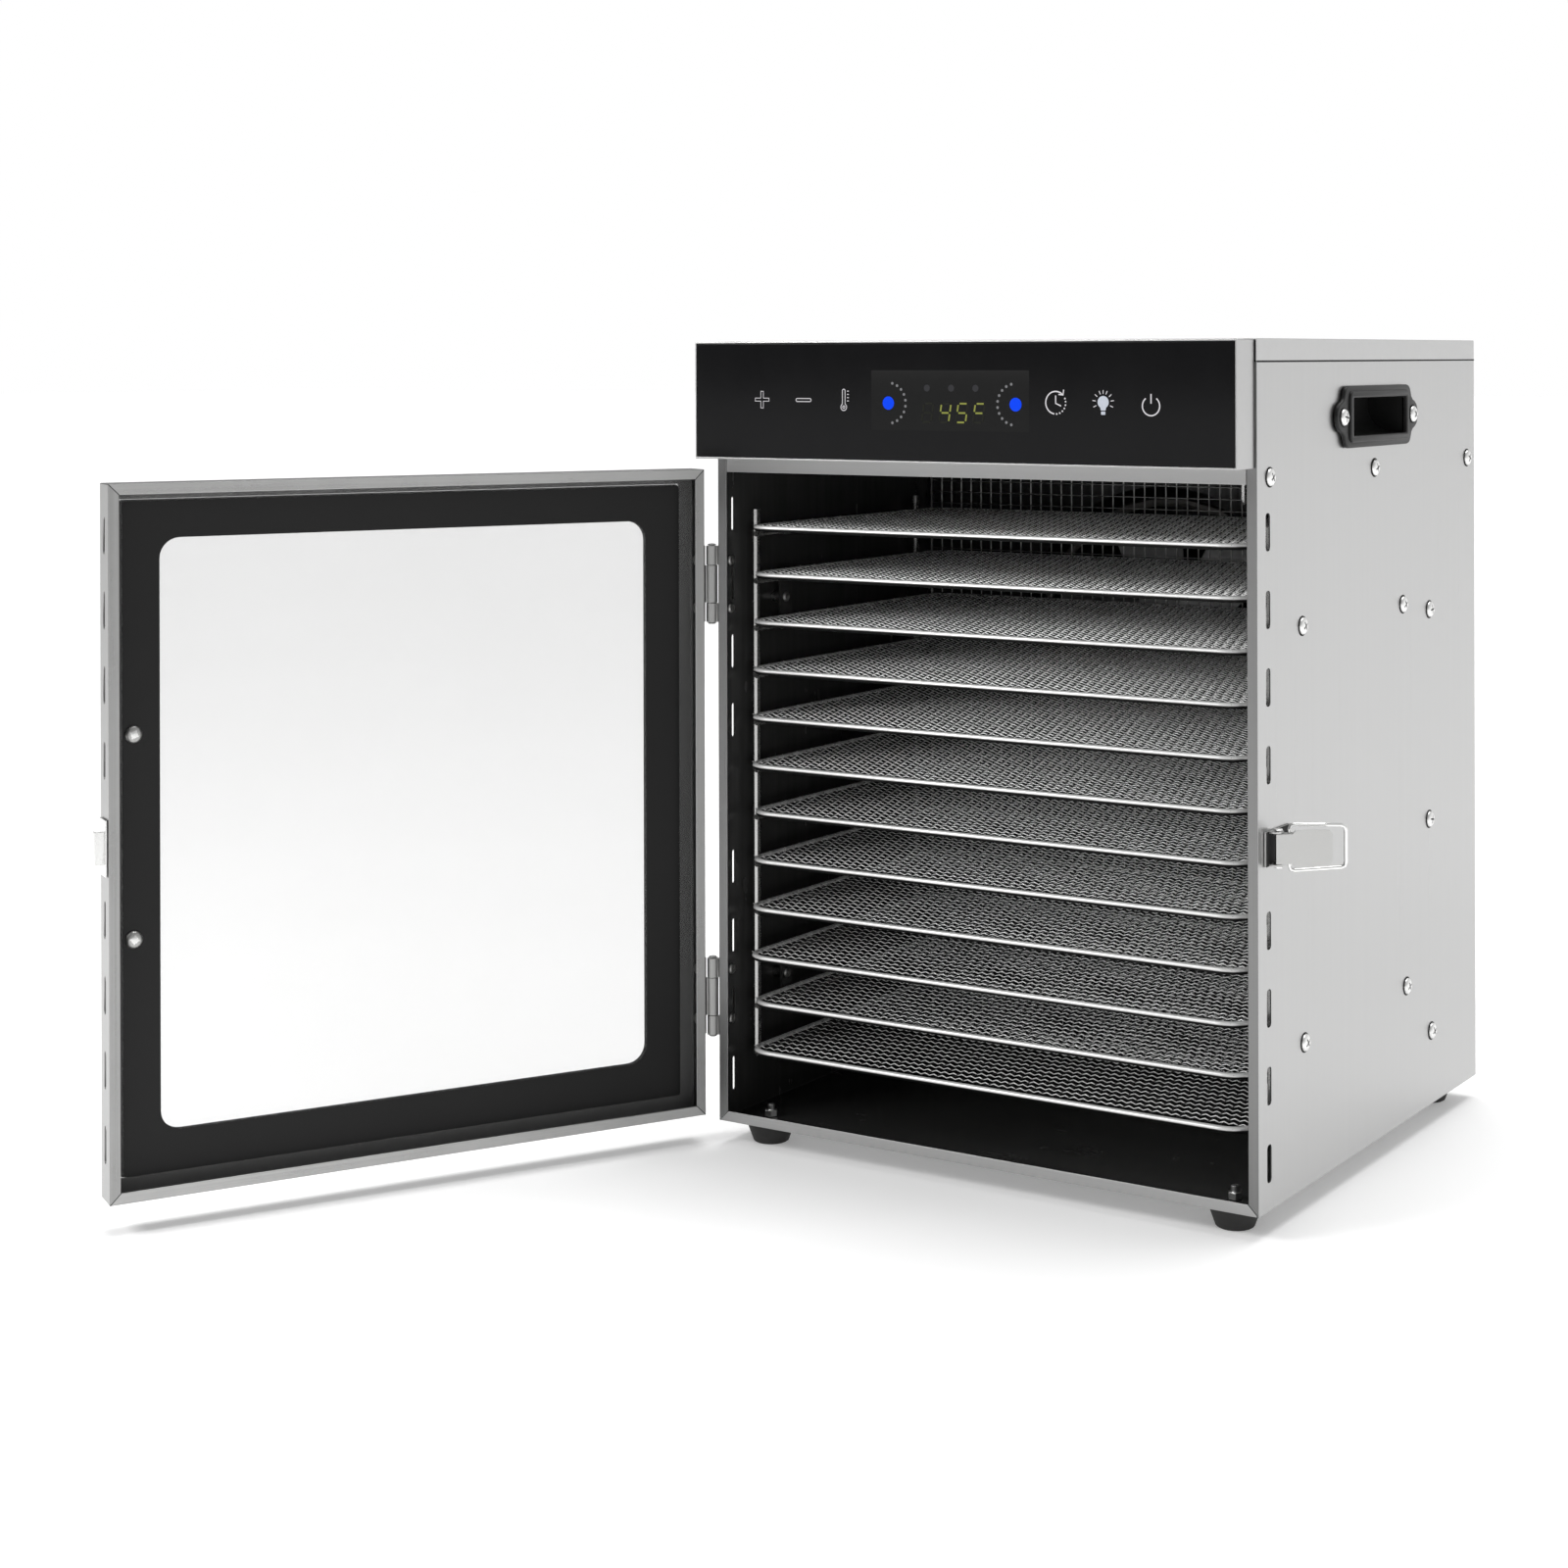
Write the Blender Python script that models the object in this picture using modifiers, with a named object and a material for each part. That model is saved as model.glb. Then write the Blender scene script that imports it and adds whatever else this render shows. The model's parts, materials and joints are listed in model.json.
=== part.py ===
"""Twelve-tray electric drying cabinet with a glazed door, built in metres, +Z up, front facing -Y."""
import math

import bmesh
import bpy
from mathutils import Matrix, Vector

# Driving dimensions, in millimetres of the cabinet: x from its left side, y from its front, z from its floor.
WIDTH = 376.0
DEPTH = 358.0
BODY_TOP = 500.0
SIDE_TOP = 486.7
SHEET = 1.0
GAP = 0.3
FOOT_HEIGHT = 14.5
FLANGE = 6.5

CEILING = 420.0
PARTITION_Y = 264.0
GUARD_Y = 257.0

TRAYS = 12
TRAY_PITCH = 30.6
TRAY_TOP = 380.0
TRAY_LEFT = 10.8
TRAY_FRONT = 10.0
TRAY_BACK = 252.0
TRAY_STAND = (1.2, 3.6, 2.4, 0.6, 0.0, -0.8, 2.6, 1.2, -0.3, -1.8, 2.4, 0.6)
RIM_WIRE = 2.2
TRAY_CORNER = 13.0

POST_Y = (32.0, 231.0)
POST_X = 7.5
RUNG_X = 11.5
BOLT_Y = (62.0, 227.0)
BOLT_Z = (84.0, 332.0)

DOOR_X = (0.2, 378.0)
DOOR_Z = (3.2, 418.0)
DOOR_DEPTH = 20.0
DOOR_LIP = 6.5
DOOR_FACE = 10.0
DOOR_OPEN = math.radians(118.85)
HINGE_X = -4.8
HINGE_Y = -0.2
KNUCKLE = 3.7
HINGE_Z = (54.7, 319.8)
HINGE_LENGTH = 49.0

BOX_FRONT = -24.4
BOX_Z = (425.8, 499.3)

LATCH_Z = 208.0
LATCH_X = WIDTH + 5.0
LATCH_Y = 17.0
LEVER_OPEN = math.radians(50.0)
BAIL_U = 7.0
BAIL_W = -1.5
BAIL_REACH = 33.5

FAN_X = 188.0
FAN_Z = 288.0
MM = 0.001


def at(x, y, z):
    """World position, in metres, of a point of the cabinet given in millimetres."""
    return Vector(((x - WIDTH / 2) * MM, (y - DEPTH / 2) * MM, (z + FOOT_HEIGHT) * MM))


def material(name, color, metallic=0.0, roughness=0.5):
    made = bpy.data.materials.new(name)
    made.use_nodes = True
    shader = made.node_tree.nodes["Principled BSDF"]
    shader.inputs["Base Color"].default_value = (*color, 1.0)
    shader.inputs["Metallic"].default_value = metallic
    shader.inputs["Roughness"].default_value = roughness
    return made


def solid(name, shape, pivot, turn):
    """A mesh object from a shape drawn in cabinet millimetres, hung on its pivot."""
    bmesh.ops.recalc_face_normals(shape, faces=shape.faces)
    bmesh.ops.translate(shape, verts=shape.verts, vec=-Vector(pivot))
    bmesh.ops.scale(shape, verts=shape.verts, vec=(MM, MM, MM))
    mesh = bpy.data.meshes.new(name)
    shape.to_mesh(mesh)
    shape.free()
    mesh.shade_smooth()
    mesh.set_sharp_from_angle(angle=math.radians(32.0))
    made = bpy.data.objects.new(name, mesh)
    made.location = at(*pivot)
    made.rotation_euler = (0.0, 0.0, turn)
    return made


def node(name, shape, look, pivot=(0.0, 0.0, 0.0), turn=0.0, cut=(), add=()):
    """One named sub-part, with the tool shapes joined to it or cut from it."""
    made = solid(name, shape, pivot, turn)
    CABINET.objects.link(made)
    color, metallic, roughness = look
    made.data.materials.append(material(name, color, metallic, roughness))
    for step, (kind, tool) in enumerate([("UNION", s) for s in add] + [("DIFFERENCE", s) for s in cut]):
        other = solid(f"{name}_tool_{step}", tool, pivot, turn)
        CUTTERS.objects.link(other)
        other.hide_render = True
        other.display_type = "WIRE"
        change = made.modifiers.new(f"{kind.lower()}_{step}", "BOOLEAN")
        change.operation = kind
        change.solver = "EXACT"
        change.object = other
    return made


def evaluated(made, shape, place):
    """Add the evaluated, welded mesh of a curve or a modified profile to a shape, and remove the object."""
    bpy.context.scene.collection.objects.link(made)
    graph = bpy.context.evaluated_depsgraph_get()
    mesh = bpy.data.meshes.new_from_object(made.evaluated_get(graph))
    mesh.transform(place)
    welded = bmesh.new()
    welded.from_mesh(mesh)
    bmesh.ops.remove_doubles(welded, verts=welded.verts, dist=0.0001)
    welded.to_mesh(mesh)
    welded.free()
    shape = shape or bmesh.new()
    shape.from_mesh(mesh)
    bpy.data.meshes.remove(mesh)
    bpy.data.objects.remove(made, do_unlink=True)
    return shape


def poly_curve(points, cyclic, dimensions):
    curve = bpy.data.curves.new("line", "CURVE")
    curve.dimensions = dimensions
    spline = curve.splines.new("POLY")
    spline.points.add(len(points) - 1)
    for point, place in zip(spline.points, points):
        point.co = (*place, 0.0, 1.0) if dimensions == "2D" else (*place, 1.0)
    spline.use_cyclic_u = cyclic
    return curve


def plate(points, axis, low, high, shape=None):
    """A flat outline with thickness along one axis; its two coordinates are the other axes in x, y, z order."""
    middle = (low + high) / 2
    place = {
        "x": Matrix(((0, 0, 1, middle), (1, 0, 0, 0), (0, 1, 0, 0), (0, 0, 0, 1))),
        "y": Matrix(((1, 0, 0, 0), (0, 0, -1, middle), (0, 1, 0, 0), (0, 0, 0, 1))),
        "z": Matrix.Translation((0, 0, middle)),
    }[axis]
    curve = poly_curve(points, True, "2D")
    curve.fill_mode = "BOTH"
    curve.extrude = (high - low) / 2
    return evaluated(bpy.data.objects.new("outline", curve), shape, place)


def wire(path, radius, closed=False, shape=None):
    """Round wire along a path."""
    curve = poly_curve(path, closed, "3D")
    curve.bevel_depth = radius
    curve.bevel_resolution = 2
    curve.use_fill_caps = not closed
    return evaluated(bpy.data.objects.new("wire", curve), shape, Matrix.Identity(4))


def turned(profile, centre, axis="z", sides=24):
    """A profile of (radius, height) pairs turned about an axis through the centre."""
    mesh = bpy.data.meshes.new("profile")
    edges = [(i, i + 1) for i in range(len(profile) - 1)]
    mesh.from_pydata([(r, 0.0, h) for r, h in profile], edges, [])
    made = bpy.data.objects.new("profile", mesh)
    screw = made.modifiers.new("turn", "SCREW")
    screw.steps = screw.render_steps = sides
    screw.use_merge_vertices = True
    screw.merge_threshold = 0.0001
    place = Matrix.Translation(centre)
    if axis == "y":
        place = place @ Matrix.Rotation(-math.pi / 2, 4, "X")
    return evaluated(made, None, place)


def box(x, y, z, shape=None):
    shape = shape or bmesh.new()
    middle = Vector(((x[0] + x[1]) / 2, (y[0] + y[1]) / 2, (z[0] + z[1]) / 2))
    size = (abs(x[1] - x[0]), abs(y[1] - y[0]), abs(z[1] - z[0]), 1.0)
    bmesh.ops.create_cube(shape, size=1.0, matrix=Matrix.Translation(middle) @ Matrix.Diagonal(size))
    return shape


def rod(axis, u, v, low, high, radius, sides=12, shape=None):
    shape = shape or bmesh.new()
    middle = (low + high) / 2
    place = {
        "x": Matrix.Translation((middle, u, v)) @ Matrix.Rotation(math.pi / 2, 4, "Y"),
        "y": Matrix.Translation((u, middle, v)) @ Matrix.Rotation(math.pi / 2, 4, "X"),
        "z": Matrix.Translation((u, v, middle)),
    }[axis]
    bmesh.ops.create_cone(shape, cap_ends=True, segments=sides, radius1=radius, radius2=radius,
                          depth=high - low, matrix=place)
    return shape


def ring(u, v, radius, sides):
    turns = [2 * math.pi * i / sides for i in range(sides)]
    return [(u + radius * math.cos(t), v + radius * math.sin(t)) for t in turns]


def rounded(u, v, radius, steps=3):
    """Outline of a rectangle with rounded corners."""
    points = []
    corners = ((u[1], v[1], 0), (u[0], v[1], 1), (u[0], v[0], 2), (u[1], v[0], 3))
    for cu, cv, quarter in corners:
        mu = cu - radius * (1 if cu == u[1] else -1)
        mv = cv - radius * (1 if cv == v[1] else -1)
        for i in range(steps + 1):
            t = math.pi / 2 * (quarter + i / steps)
            points.append((mu + radius * math.cos(t), mv + radius * math.sin(t)))
    return points


STAINLESS = ((0.62, 0.62, 0.61), 1.0, 0.32)
BRIGHT = ((0.78, 0.78, 0.77), 1.0, 0.18)
DARK_SHEET = ((0.045, 0.045, 0.043), 0.7, 0.3)
PLASTIC = ((0.03, 0.03, 0.03), 0.0, 0.5)
BLACK_GLASS = ((0.008, 0.008, 0.009), 0.0, 0.06)
CLEAR_GLASS = ((0.85, 0.88, 0.87), 0.0, 0.04)
RUBBER = ((0.02, 0.02, 0.02), 0.0, 0.8)
BOARD = ((0.02, 0.16, 0.07), 0.0, 0.5)
HEATER = ((0.2, 0.17, 0.15), 0.9, 0.45)
LENS = ((0.9, 0.86, 0.75), 0.0, 0.3)


def slots(centre, steps, y, x, half=2.0):
    """Tool for the upright vent slots of a side wall."""
    shape = bmesh.new()
    for step in steps:
        for sign in (-1, 1):
            z = centre + sign * step
            plate(rounded((y - half, y + half), (z - 10.8, z + 10.8), min(half, 2.0), 2), "x", *x, shape=shape)
    return shape


def side_panel(name, left):
    """Side sheet with its front flange mitred at the foot, eight vent slots and the handle opening."""
    def sx(x):
        return x if left else WIDTH - x
    wall = box(sorted((sx(0), sx(SHEET))), (0.5, DEPTH), (0.0, SIDE_TOP))
    face = [(0, 0), (SHEET, 0), (SHEET, SHEET), (FLANGE, FLANGE), (FLANGE, SIDE_TOP), (0, SIDE_TOP)]
    flange = plate([(sx(x), z) for x, z in face], "y", 0.0, SHEET)
    span = sorted((sx(-2), sx(4)))
    tools = slots(208.0, (47.4, 91.9, 136.4, 180.9), 15.0, span, 1.3 if left else 3.0)
    plate(rounded((131.5, 224.5), (438.5, 466.5), 4.0, 3), "x", *span, shape=tools)
    return node(name, wall, STAINLESS, add=[flange], cut=[tools])


def base_panel():
    """Floor sheet with a front flange mitred to meet the side flanges, and the foot bolt holes."""
    low, high = SHEET + GAP, WIDTH - SHEET - GAP
    sheet = box((low, high), (0.5, DEPTH - SHEET - GAP), (0.0, SHEET))
    step = FLANGE - SHEET
    face = [(low, 0), (high, 0), (high, SHEET), (high - step, FLANGE), (low + step, FLANGE), (low, SHEET)]
    holes = bmesh.new()
    for x, y in FEET:
        rod("z", x, y, -2, 3, 3.0, 12, holes)
    return node("base_panel", sheet, DARK_SHEET, add=[plate(face, "y", 0.0, SHEET)], cut=[holes])


def rear_panel():
    """Rear sheet with rows of intake slots behind the fan and the opening for the power inlet."""
    low, high = SHEET + GAP, WIDTH - SHEET - GAP
    sheet = box((low, high), (DEPTH - SHEET, DEPTH), (0.0, SIDE_TOP))
    tools = bmesh.new()
    for row in range(-3, 4):
        half = math.sqrt(max(0.0, 72.0 ** 2 - (row * 20.0) ** 2))
        z = FAN_Z + row * 20.0
        plate(rounded((FAN_X - half, FAN_X + half), (z - 2.2, z + 2.2), 2.2, 2), "y", DEPTH - 4, DEPTH + 4,
              shape=tools)
    box((52.0, 80.0), (DEPTH - 4, DEPTH + 4), (438.0, 458.0), tools)
    return node("rear_panel", sheet, STAINLESS, cut=[tools])


def top_lid():
    """Lid with flanges folded down on the two sides and the rear."""
    wall = box((0.0, WIDTH), (0.0, DEPTH), (BODY_TOP - 13.0, BODY_TOP))
    inner = box((SHEET, WIDTH - SHEET), (-5.0, DEPTH - SHEET), (BODY_TOP - 20.0, BODY_TOP - SHEET))
    return node("top_lid", wall, STAINLESS, cut=[inner])


def chamber_ceiling():
    low, high = SHEET + GAP, WIDTH - SHEET - GAP
    sheet = box((low, high), (SHEET + 4 * GAP, DEPTH - SHEET - GAP), (CEILING, CEILING + SHEET))
    tools = box((60.0, 64.0), (300.0, 340.0), (CEILING - 3, CEILING + 4))
    rod("z", 300.0, 150.0, CEILING - 3, CEILING + 4, 3.0, 12, tools)
    rod("z", 60.0, 140.0, CEILING - 3, CEILING + 4, 6.0, 12, tools)
    return node("chamber_ceiling", sheet, DARK_SHEET, cut=[tools])


def header_rail():
    """Narrow strip across the front, between the side flanges and under the control housing."""
    outline = [(0, 416.4), (SHEET, 416.4), (SHEET, 425.4), (0, 425.4)]
    return node("header_rail", plate(outline, "x", FLANGE + GAP, WIDTH - FLANGE - GAP), STAINLESS)


def fan_partition():
    """Upright sheet in front of the fan, its side flanges turned to the rear, open around the fan."""
    low, high = SHEET + GAP, WIDTH - SHEET - GAP
    y = PARTITION_Y
    outline = [(low, y), (high, y), (high, y + 15), (high - SHEET, y + 15), (high - SHEET, y + SHEET),
               (low + SHEET, y + SHEET), (low + SHEET, y + 15), (low, y + 15)]
    sheet = plate(outline, "z", SHEET + GAP, CEILING - GAP)
    tools = rod("y", FAN_X, FAN_Z, y - 4, y + 6, 112.0, 40)
    for x in (30.0, WIDTH - 30.0):
        for z in (60.0, 130.0):
            plate(rounded((x - 6, x + 6), (z - 22, z + 22), 6.0, 3), "y", y - 4, y + 6, shape=tools)
    return node("fan_partition", sheet, DARK_SHEET, cut=[tools])


def fan_guard():
    """Flat safety guard across the rear of the chamber, pierced by a grid of openings."""
    low, high, bottom, top = 4.0, WIDTH - 4.0, 10.0, CEILING - 2.0
    tools = bmesh.new()
    columns, rows, bar = 6, 7, 3.0
    across = (high - low - bar) / columns
    up = (top - bottom - bar) / rows
    for i in range(columns):
        for k in range(rows):
            x = (low + bar + i * across, low + (i + 1) * across)
            z = (bottom + bar + k * up, bottom + (k + 1) * up)
            box(x, (GUARD_Y - 3, GUARD_Y + 6), z, tools)
    return node("fan_guard", box((low, high), (GUARD_Y, GUARD_Y + 1.6), (bottom, top)), BRIGHT, cut=[tools])


def fan_motor():
    """Round motor with a bore in its front for the fan shaft."""
    profile = [(0, 331.0), (20.0, 331.0), (33.0, 328.0), (34.0, 326.0), (34.0, 300.0), (32.0, 297.0),
               (12.0, 296.0), (10.0, 292.0), (3.1, 292.0), (3.1, 310.0), (0, 310.0)]
    return node("fan_motor", turned(profile, (FAN_X, 0, FAN_Z), "y", 24), ((0.25, 0.25, 0.26), 0.9, 0.4))


def motor_bracket():
    """Strap behind the motor with two legs reaching back to the rear sheet."""
    outline = [(FAN_X - 110, 356.6), (FAN_X - 90, 356.6), (FAN_X - 90, 354.6), (FAN_X - 60, 333.3),
               (FAN_X + 60, 333.3), (FAN_X + 90, 354.6), (FAN_X + 90, 356.6), (FAN_X + 110, 356.6),
               (FAN_X + 110, 354.6), (FAN_X + 91.4, 354.6), (FAN_X + 61, 331.3), (FAN_X - 61, 331.3),
               (FAN_X - 91.4, 354.6), (FAN_X - 110, 354.6)]
    return node("motor_bracket", plate(outline, "z", FAN_Z - 14, FAN_Z + 14), BRIGHT)


def fan_impeller():
    """Hub, shaft and seven pitched blades, one turning piece."""
    profile = [(0, 268.0), (14.0, 268.0), (16.0, 270.0), (16.0, 286.0), (3.0, 286.0), (3.0, 309.0), (0, 309.0)]
    hub = turned(profile, (FAN_X, 0, FAN_Z), "y", 24)
    blades = []
    outline = [(12.0, -8.0), (30.0, -15.0), (84.0, -24.0), (90.0, -18.0), (90.0, 18.0), (84.0, 24.0),
               (30.0, 15.0), (12.0, 8.0)]
    for i in range(7):
        blade = plate(outline, "y", -0.7, 0.7)
        lean = Matrix.Rotation(math.radians(24.0), 4, "X")
        turn = Matrix.Rotation(-2 * math.pi * i / 7, 4, "Y")
        bmesh.ops.transform(blade, verts=blade.verts,
                            matrix=Matrix.Translation((FAN_X, 277.0, FAN_Z)) @ turn @ lean)
        blades.append(blade)
    return node("fan_impeller", hub, BRIGHT, pivot=(FAN_X, 277.0, FAN_Z), add=blades)


def heater_coil():
    """Round tube element in an open ring about the fan, its two ends turned to the rear."""
    path = [(FAN_X - 12.0, 300.0, FAN_Z - 100.0), (FAN_X - 12.0, 276.0, FAN_Z - 101.0)]
    for i in range(1, 25):
        t = -math.pi / 2 - 0.12 - (2 * math.pi - 0.24) * i / 25
        path.append((FAN_X + 101.7 * math.cos(t), 276.0, FAN_Z + 101.7 * math.sin(t)))
    path += [(FAN_X + 12.0, 276.0, FAN_Z - 101.0), (FAN_X + 12.0, 300.0, FAN_Z - 100.0)]
    return node("heater_coil", wire(path, 3.3), HEATER)


def chamber_lamp():
    profile = [(0, 409.5), (8.0, 411.0), (13.0, 414.5), (15.0, 419.7), (5.4, 419.7), (5.4, 428.0), (0, 428.0)]
    return node("chamber_lamp", turned(profile, (60.0, 140.0, 0.0), "z", 20), LENS)


def temperature_probe():
    profile = [(0, 396.0), (1.8, 397.5), (2.4, 399.0), (2.4, 416.7), (5.0, 416.7), (5.0, 419.7), (2.4, 419.7),
               (2.4, 430.0), (0, 430.0)]
    return node("temperature_probe", turned(profile, (300.0, 150.0, 0.0), "z", 16), BRIGHT)


def control_housing():
    """Sheet housing that stands forward of the cabinet and is open to the front and rear."""
    wall = box((0.0, 374.6), (BOX_FRONT, -GAP), BOX_Z)
    inner = box((0.9, 373.7), (BOX_FRONT - 5, 5.0), (BOX_Z[0] + 1.1, BOX_Z[1] - 0.7))
    return node("control_housing", wall, STAINLESS, cut=[inner])


def control_glass():
    pane = box((1.2, 373.4), (BOX_FRONT + 0.1, BOX_FRONT + 3.1), (BOX_Z[0] + 1.4, BOX_Z[1] - 1.0))
    return node("control_glass", pane, BLACK_GLASS)


def display_board():
    """Circuit board behind the glass, with the display block standing forward of it."""
    board = box((40.0, 336.0), (-14.0, -12.4), (438.0, 490.0))
    block = box((132.0, 242.0), (-20.8, -13.0), (445.0, 482.0))
    return node("display_board", board, BOARD, add=[block])


def power_board():
    """Supply board on the ceiling sheet, carried by four short posts, with its larger parts."""
    board = box((90.0, 250.0), (60.0, 160.0), (CEILING + 7.3, CEILING + 8.9))
    extra = [box((110.0, 145.0), (80.0, 120.0), (CEILING + 8.0, CEILING + 30.0)),
             rod("z", 180.0, 90.0, CEILING + 8.0, CEILING + 34.0, 9.0, 16),
             box((200.0, 235.0), (110.0, 140.0), (CEILING + 8.0, CEILING + 24.0))]
    for x in (96.0, 244.0):
        for y in (66.0, 154.0):
            extra.append(rod("z", x, y, CEILING + SHEET + GAP, CEILING + 8.0, 3.0, 8))
    return node("power_board", board, BOARD, add=extra)


def tray_height(index):
    return TRAY_TOP - index * TRAY_PITCH


def rack(name, left):
    """Upright wire rack: two posts, twelve rungs and the bolted tabs that hold it to the side."""
    def sx(x):
        return x if left else WIDTH - x
    posts = rod("z", sx(POST_X), POST_Y[0], 39.0, 391.0, 2.5, 8)
    extra = [rod("z", sx(POST_X), POST_Y[1], 39.0, 391.0, 2.5, 8)]
    rungs = bmesh.new()
    for index in range(TRAYS):
        z = tray_height(index) - RIM_WIRE - 2.0 - GAP
        rod("y", sx(RUNG_X), z, POST_Y[0] - 6, POST_Y[1] + 6, 2.0, 8, rungs)
    tabs, studs = bmesh.new(), bmesh.new()
    for y in BOLT_Y:
        for low, high, z in ((67.0, 103.0, BOLT_Z[0]), (311.0, 348.0, BOLT_Z[1])):
            box(sorted((sx(8.9), sx(10.4))), (y - 6, y + 6), (low, high), tabs)
            rod("x", y, z, *sorted((sx(SHEET + GAP), sx(9.6))), 4.0, 10, studs)
    rungs_first = node(name, rungs, BRIGHT, add=[posts, extra[0], tabs, studs])
    return rungs_first


def tray(index):
    """Lift-out tray: a round rim wire with rounded corners, the screen at its middle, pushed in by its own amount."""
    z = tray_height(index)
    front, back = TRAY_FRONT + TRAY_STAND[index], TRAY_BACK + TRAY_STAND[index]

    def outline(inset):
        return rounded((TRAY_LEFT + inset, WIDTH - TRAY_LEFT - inset), (front + inset, back - inset),
                       TRAY_CORNER - inset, 4)
    rim = wire([(x, y, z) for x, y in outline(RIM_WIRE)], RIM_WIRE, closed=True)
    screen = plate(outline(RIM_WIRE), "z", z - 0.3, z + 0.3)
    return node(f"tray_{index + 1:02d}", rim, BRIGHT, pivot=(WIDTH / 2, front, z), add=[screen])


def door_place():
    return {"pivot": (HINGE_X, HINGE_Y, 0.0), "turn": -DOOR_OPEN}


def door_frame():
    """Folded channel frame of the door, slotted down its free side."""
    def inside(inset, y):
        return box((DOOR_X[0] + inset, DOOR_X[1] - inset), y, (DOOR_Z[0] + inset, DOOR_Z[1] - inset))
    back, front = -0.4, -0.4 - DOOR_DEPTH
    channel = inside(SHEET, (front + SHEET, back - SHEET))
    tools = slots(212.0, (46.0, 89.6, 132.9, 176.0), -11.0, (DOOR_X[1] - 3, DOOR_X[1] + 3))
    cuts = [channel, inside(DOOR_LIP, (back - 5.0, back + 5.0)), inside(DOOR_FACE, (front - 5.0, front + 5.0)), tools]
    return node("door_frame", inside(0.0, (front, back)), STAINLESS, cut=cuts, **door_place())


def door_glass():
    """Pane held in the channel, pierced for the two handle screws."""
    pane = box((DOOR_X[0] + 1.6, DOOR_X[1] - 1.6), (-19.1, -15.6), (DOOR_Z[0] + 1.6, DOOR_Z[1] - 1.6))
    holes = bmesh.new()
    for z in HANDLE_Z:
        rod("y", HANDLE_X, z, -24, -10, 2.6, 12, holes)
    return node("door_glass", pane, CLEAR_GLASS, cut=[holes], **door_place())


def door_handle():
    """Bar handle on the outer face, with its two screws through the pane."""
    path = [(HANDLE_X, -19.6, HANDLE_Z[0]), (HANDLE_X, -42.0, HANDLE_Z[0]), (HANDLE_X, -47.5, HANDLE_Z[0] + 2.2),
            (HANDLE_X, -50.0, HANDLE_Z[0] + 8.0), (HANDLE_X, -50.0, HANDLE_Z[1] - 8.0),
            (HANDLE_X, -47.5, HANDLE_Z[1] - 2.2), (HANDLE_X, -42.0, HANDLE_Z[1]), (HANDLE_X, -19.6, HANDLE_Z[1])]
    screws = []
    for z in HANDLE_Z:
        profile = [(0, -30.0), (2.2, -30.0), (2.2, -15.2), (4.4, -15.2), (3.6, -13.2), (1.6, -12.6), (0, -12.6)]
        screws.append(turned(profile, (HANDLE_X, 0, z), "y", 12))
    return node("door_handle", wire(path, 5.0), BRIGHT, add=screws, **door_place())


def door_strike():
    """Plate on the free edge of the door with the hook that the latch loop catches."""
    x = DOOR_X[1] + GAP
    backing = box((x, x + 1.0), (-18.0, -3.0), (LATCH_Z - 16.5, LATCH_Z + 16.5))
    outline = [(x + 0.5, -8.0), (x + 5.2, -8.0), (x + 5.2, -12.5), (x + 6.2, -12.5), (x + 6.2, -6.8),
               (x + 0.5, -6.8)]
    hook = plate(outline, "z", LATCH_Z - 9.5, LATCH_Z + 9.5)
    return node("door_strike", backing, BRIGHT, add=[hook], **door_place())


def hinge(name, low):
    """Butt hinge: a leaf on the cabinet, a leaf on the door and the pin between them."""
    edges = (low, low + 12.4, low + 36.6, low + HINGE_LENGTH)
    bore = rod("z", HINGE_X, HINGE_Y, low - 5, low + HINGE_LENGTH + 5, 1.9, 12)
    leaf_x = (-1.6, -0.35)
    leaf = box(leaf_x, (2.8, 21.0), (low, edges[3]))
    add, clear = [], []
    for a, b in ((edges[0], edges[1] - GAP / 2), (edges[2] + GAP / 2, edges[3])):
        add.append(rod("z", HINGE_X, HINGE_Y, a, b, KNUCKLE, 16))
        add.append(box(leaf_x, (-0.2, 3.5), (a, b)))
    node(f"{name}_cabinet_leaf", leaf, BRIGHT, add=add, cut=[bore])
    pivot = (HINGE_X, HINGE_Y, low)
    leaf = box(leaf_x, (-20.0, -3.2), (low, edges[3]))
    add = [rod("z", HINGE_X, HINGE_Y, edges[1] + GAP / 2, edges[2] - GAP / 2, KNUCKLE, 16),
           box(leaf_x, (-4.0, -0.2), (edges[1] + GAP / 2, edges[2] - GAP / 2))]
    bore = rod("z", HINGE_X, HINGE_Y, low - 5, low + HINGE_LENGTH + 5, 1.9, 12)
    node(f"{name}_door_leaf", leaf, BRIGHT, add=add, cut=[bore], pivot=pivot, turn=-DOOR_OPEN)
    profile = [(0, low - 1.6), (2.4, low - 1.2), (2.9, low - 0.4), (1.8, low - 0.4), (1.8, edges[3] + 0.4),
               (2.9, edges[3] + 0.4), (2.4, edges[3] + 1.2), (0, edges[3] + 1.6)]
    node(f"{name}_pin", turned(profile, (HINGE_X, HINGE_Y, 0.0), "z", 12), BRIGHT)


def latch_base():
    """Latch plate on the right side with the two ears that carry the lever pin."""
    x = WIDTH + GAP
    backing = box((x, x + 1.2), (8.0, 44.0), (LATCH_Z - 10, LATCH_Z + 10))
    ears = bmesh.new()
    outline = [(x + 0.4, 12.5), (x + 5.6, 12.5), (x + 7.6, 14.5), (x + 7.6, 18.5), (x + 5.6, 20.5),
               (x + 0.4, 20.5)]
    for z in (LATCH_Z - 10, LATCH_Z + 8.8):
        plate(outline, "z", z, z + 1.2, shape=ears)
    bore = rod("z", LATCH_X, LATCH_Y, LATCH_Z - 14, LATCH_Z + 14, 1.8, 12)
    return node("latch_base", backing, BRIGHT, add=[ears], cut=[bore])


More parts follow.
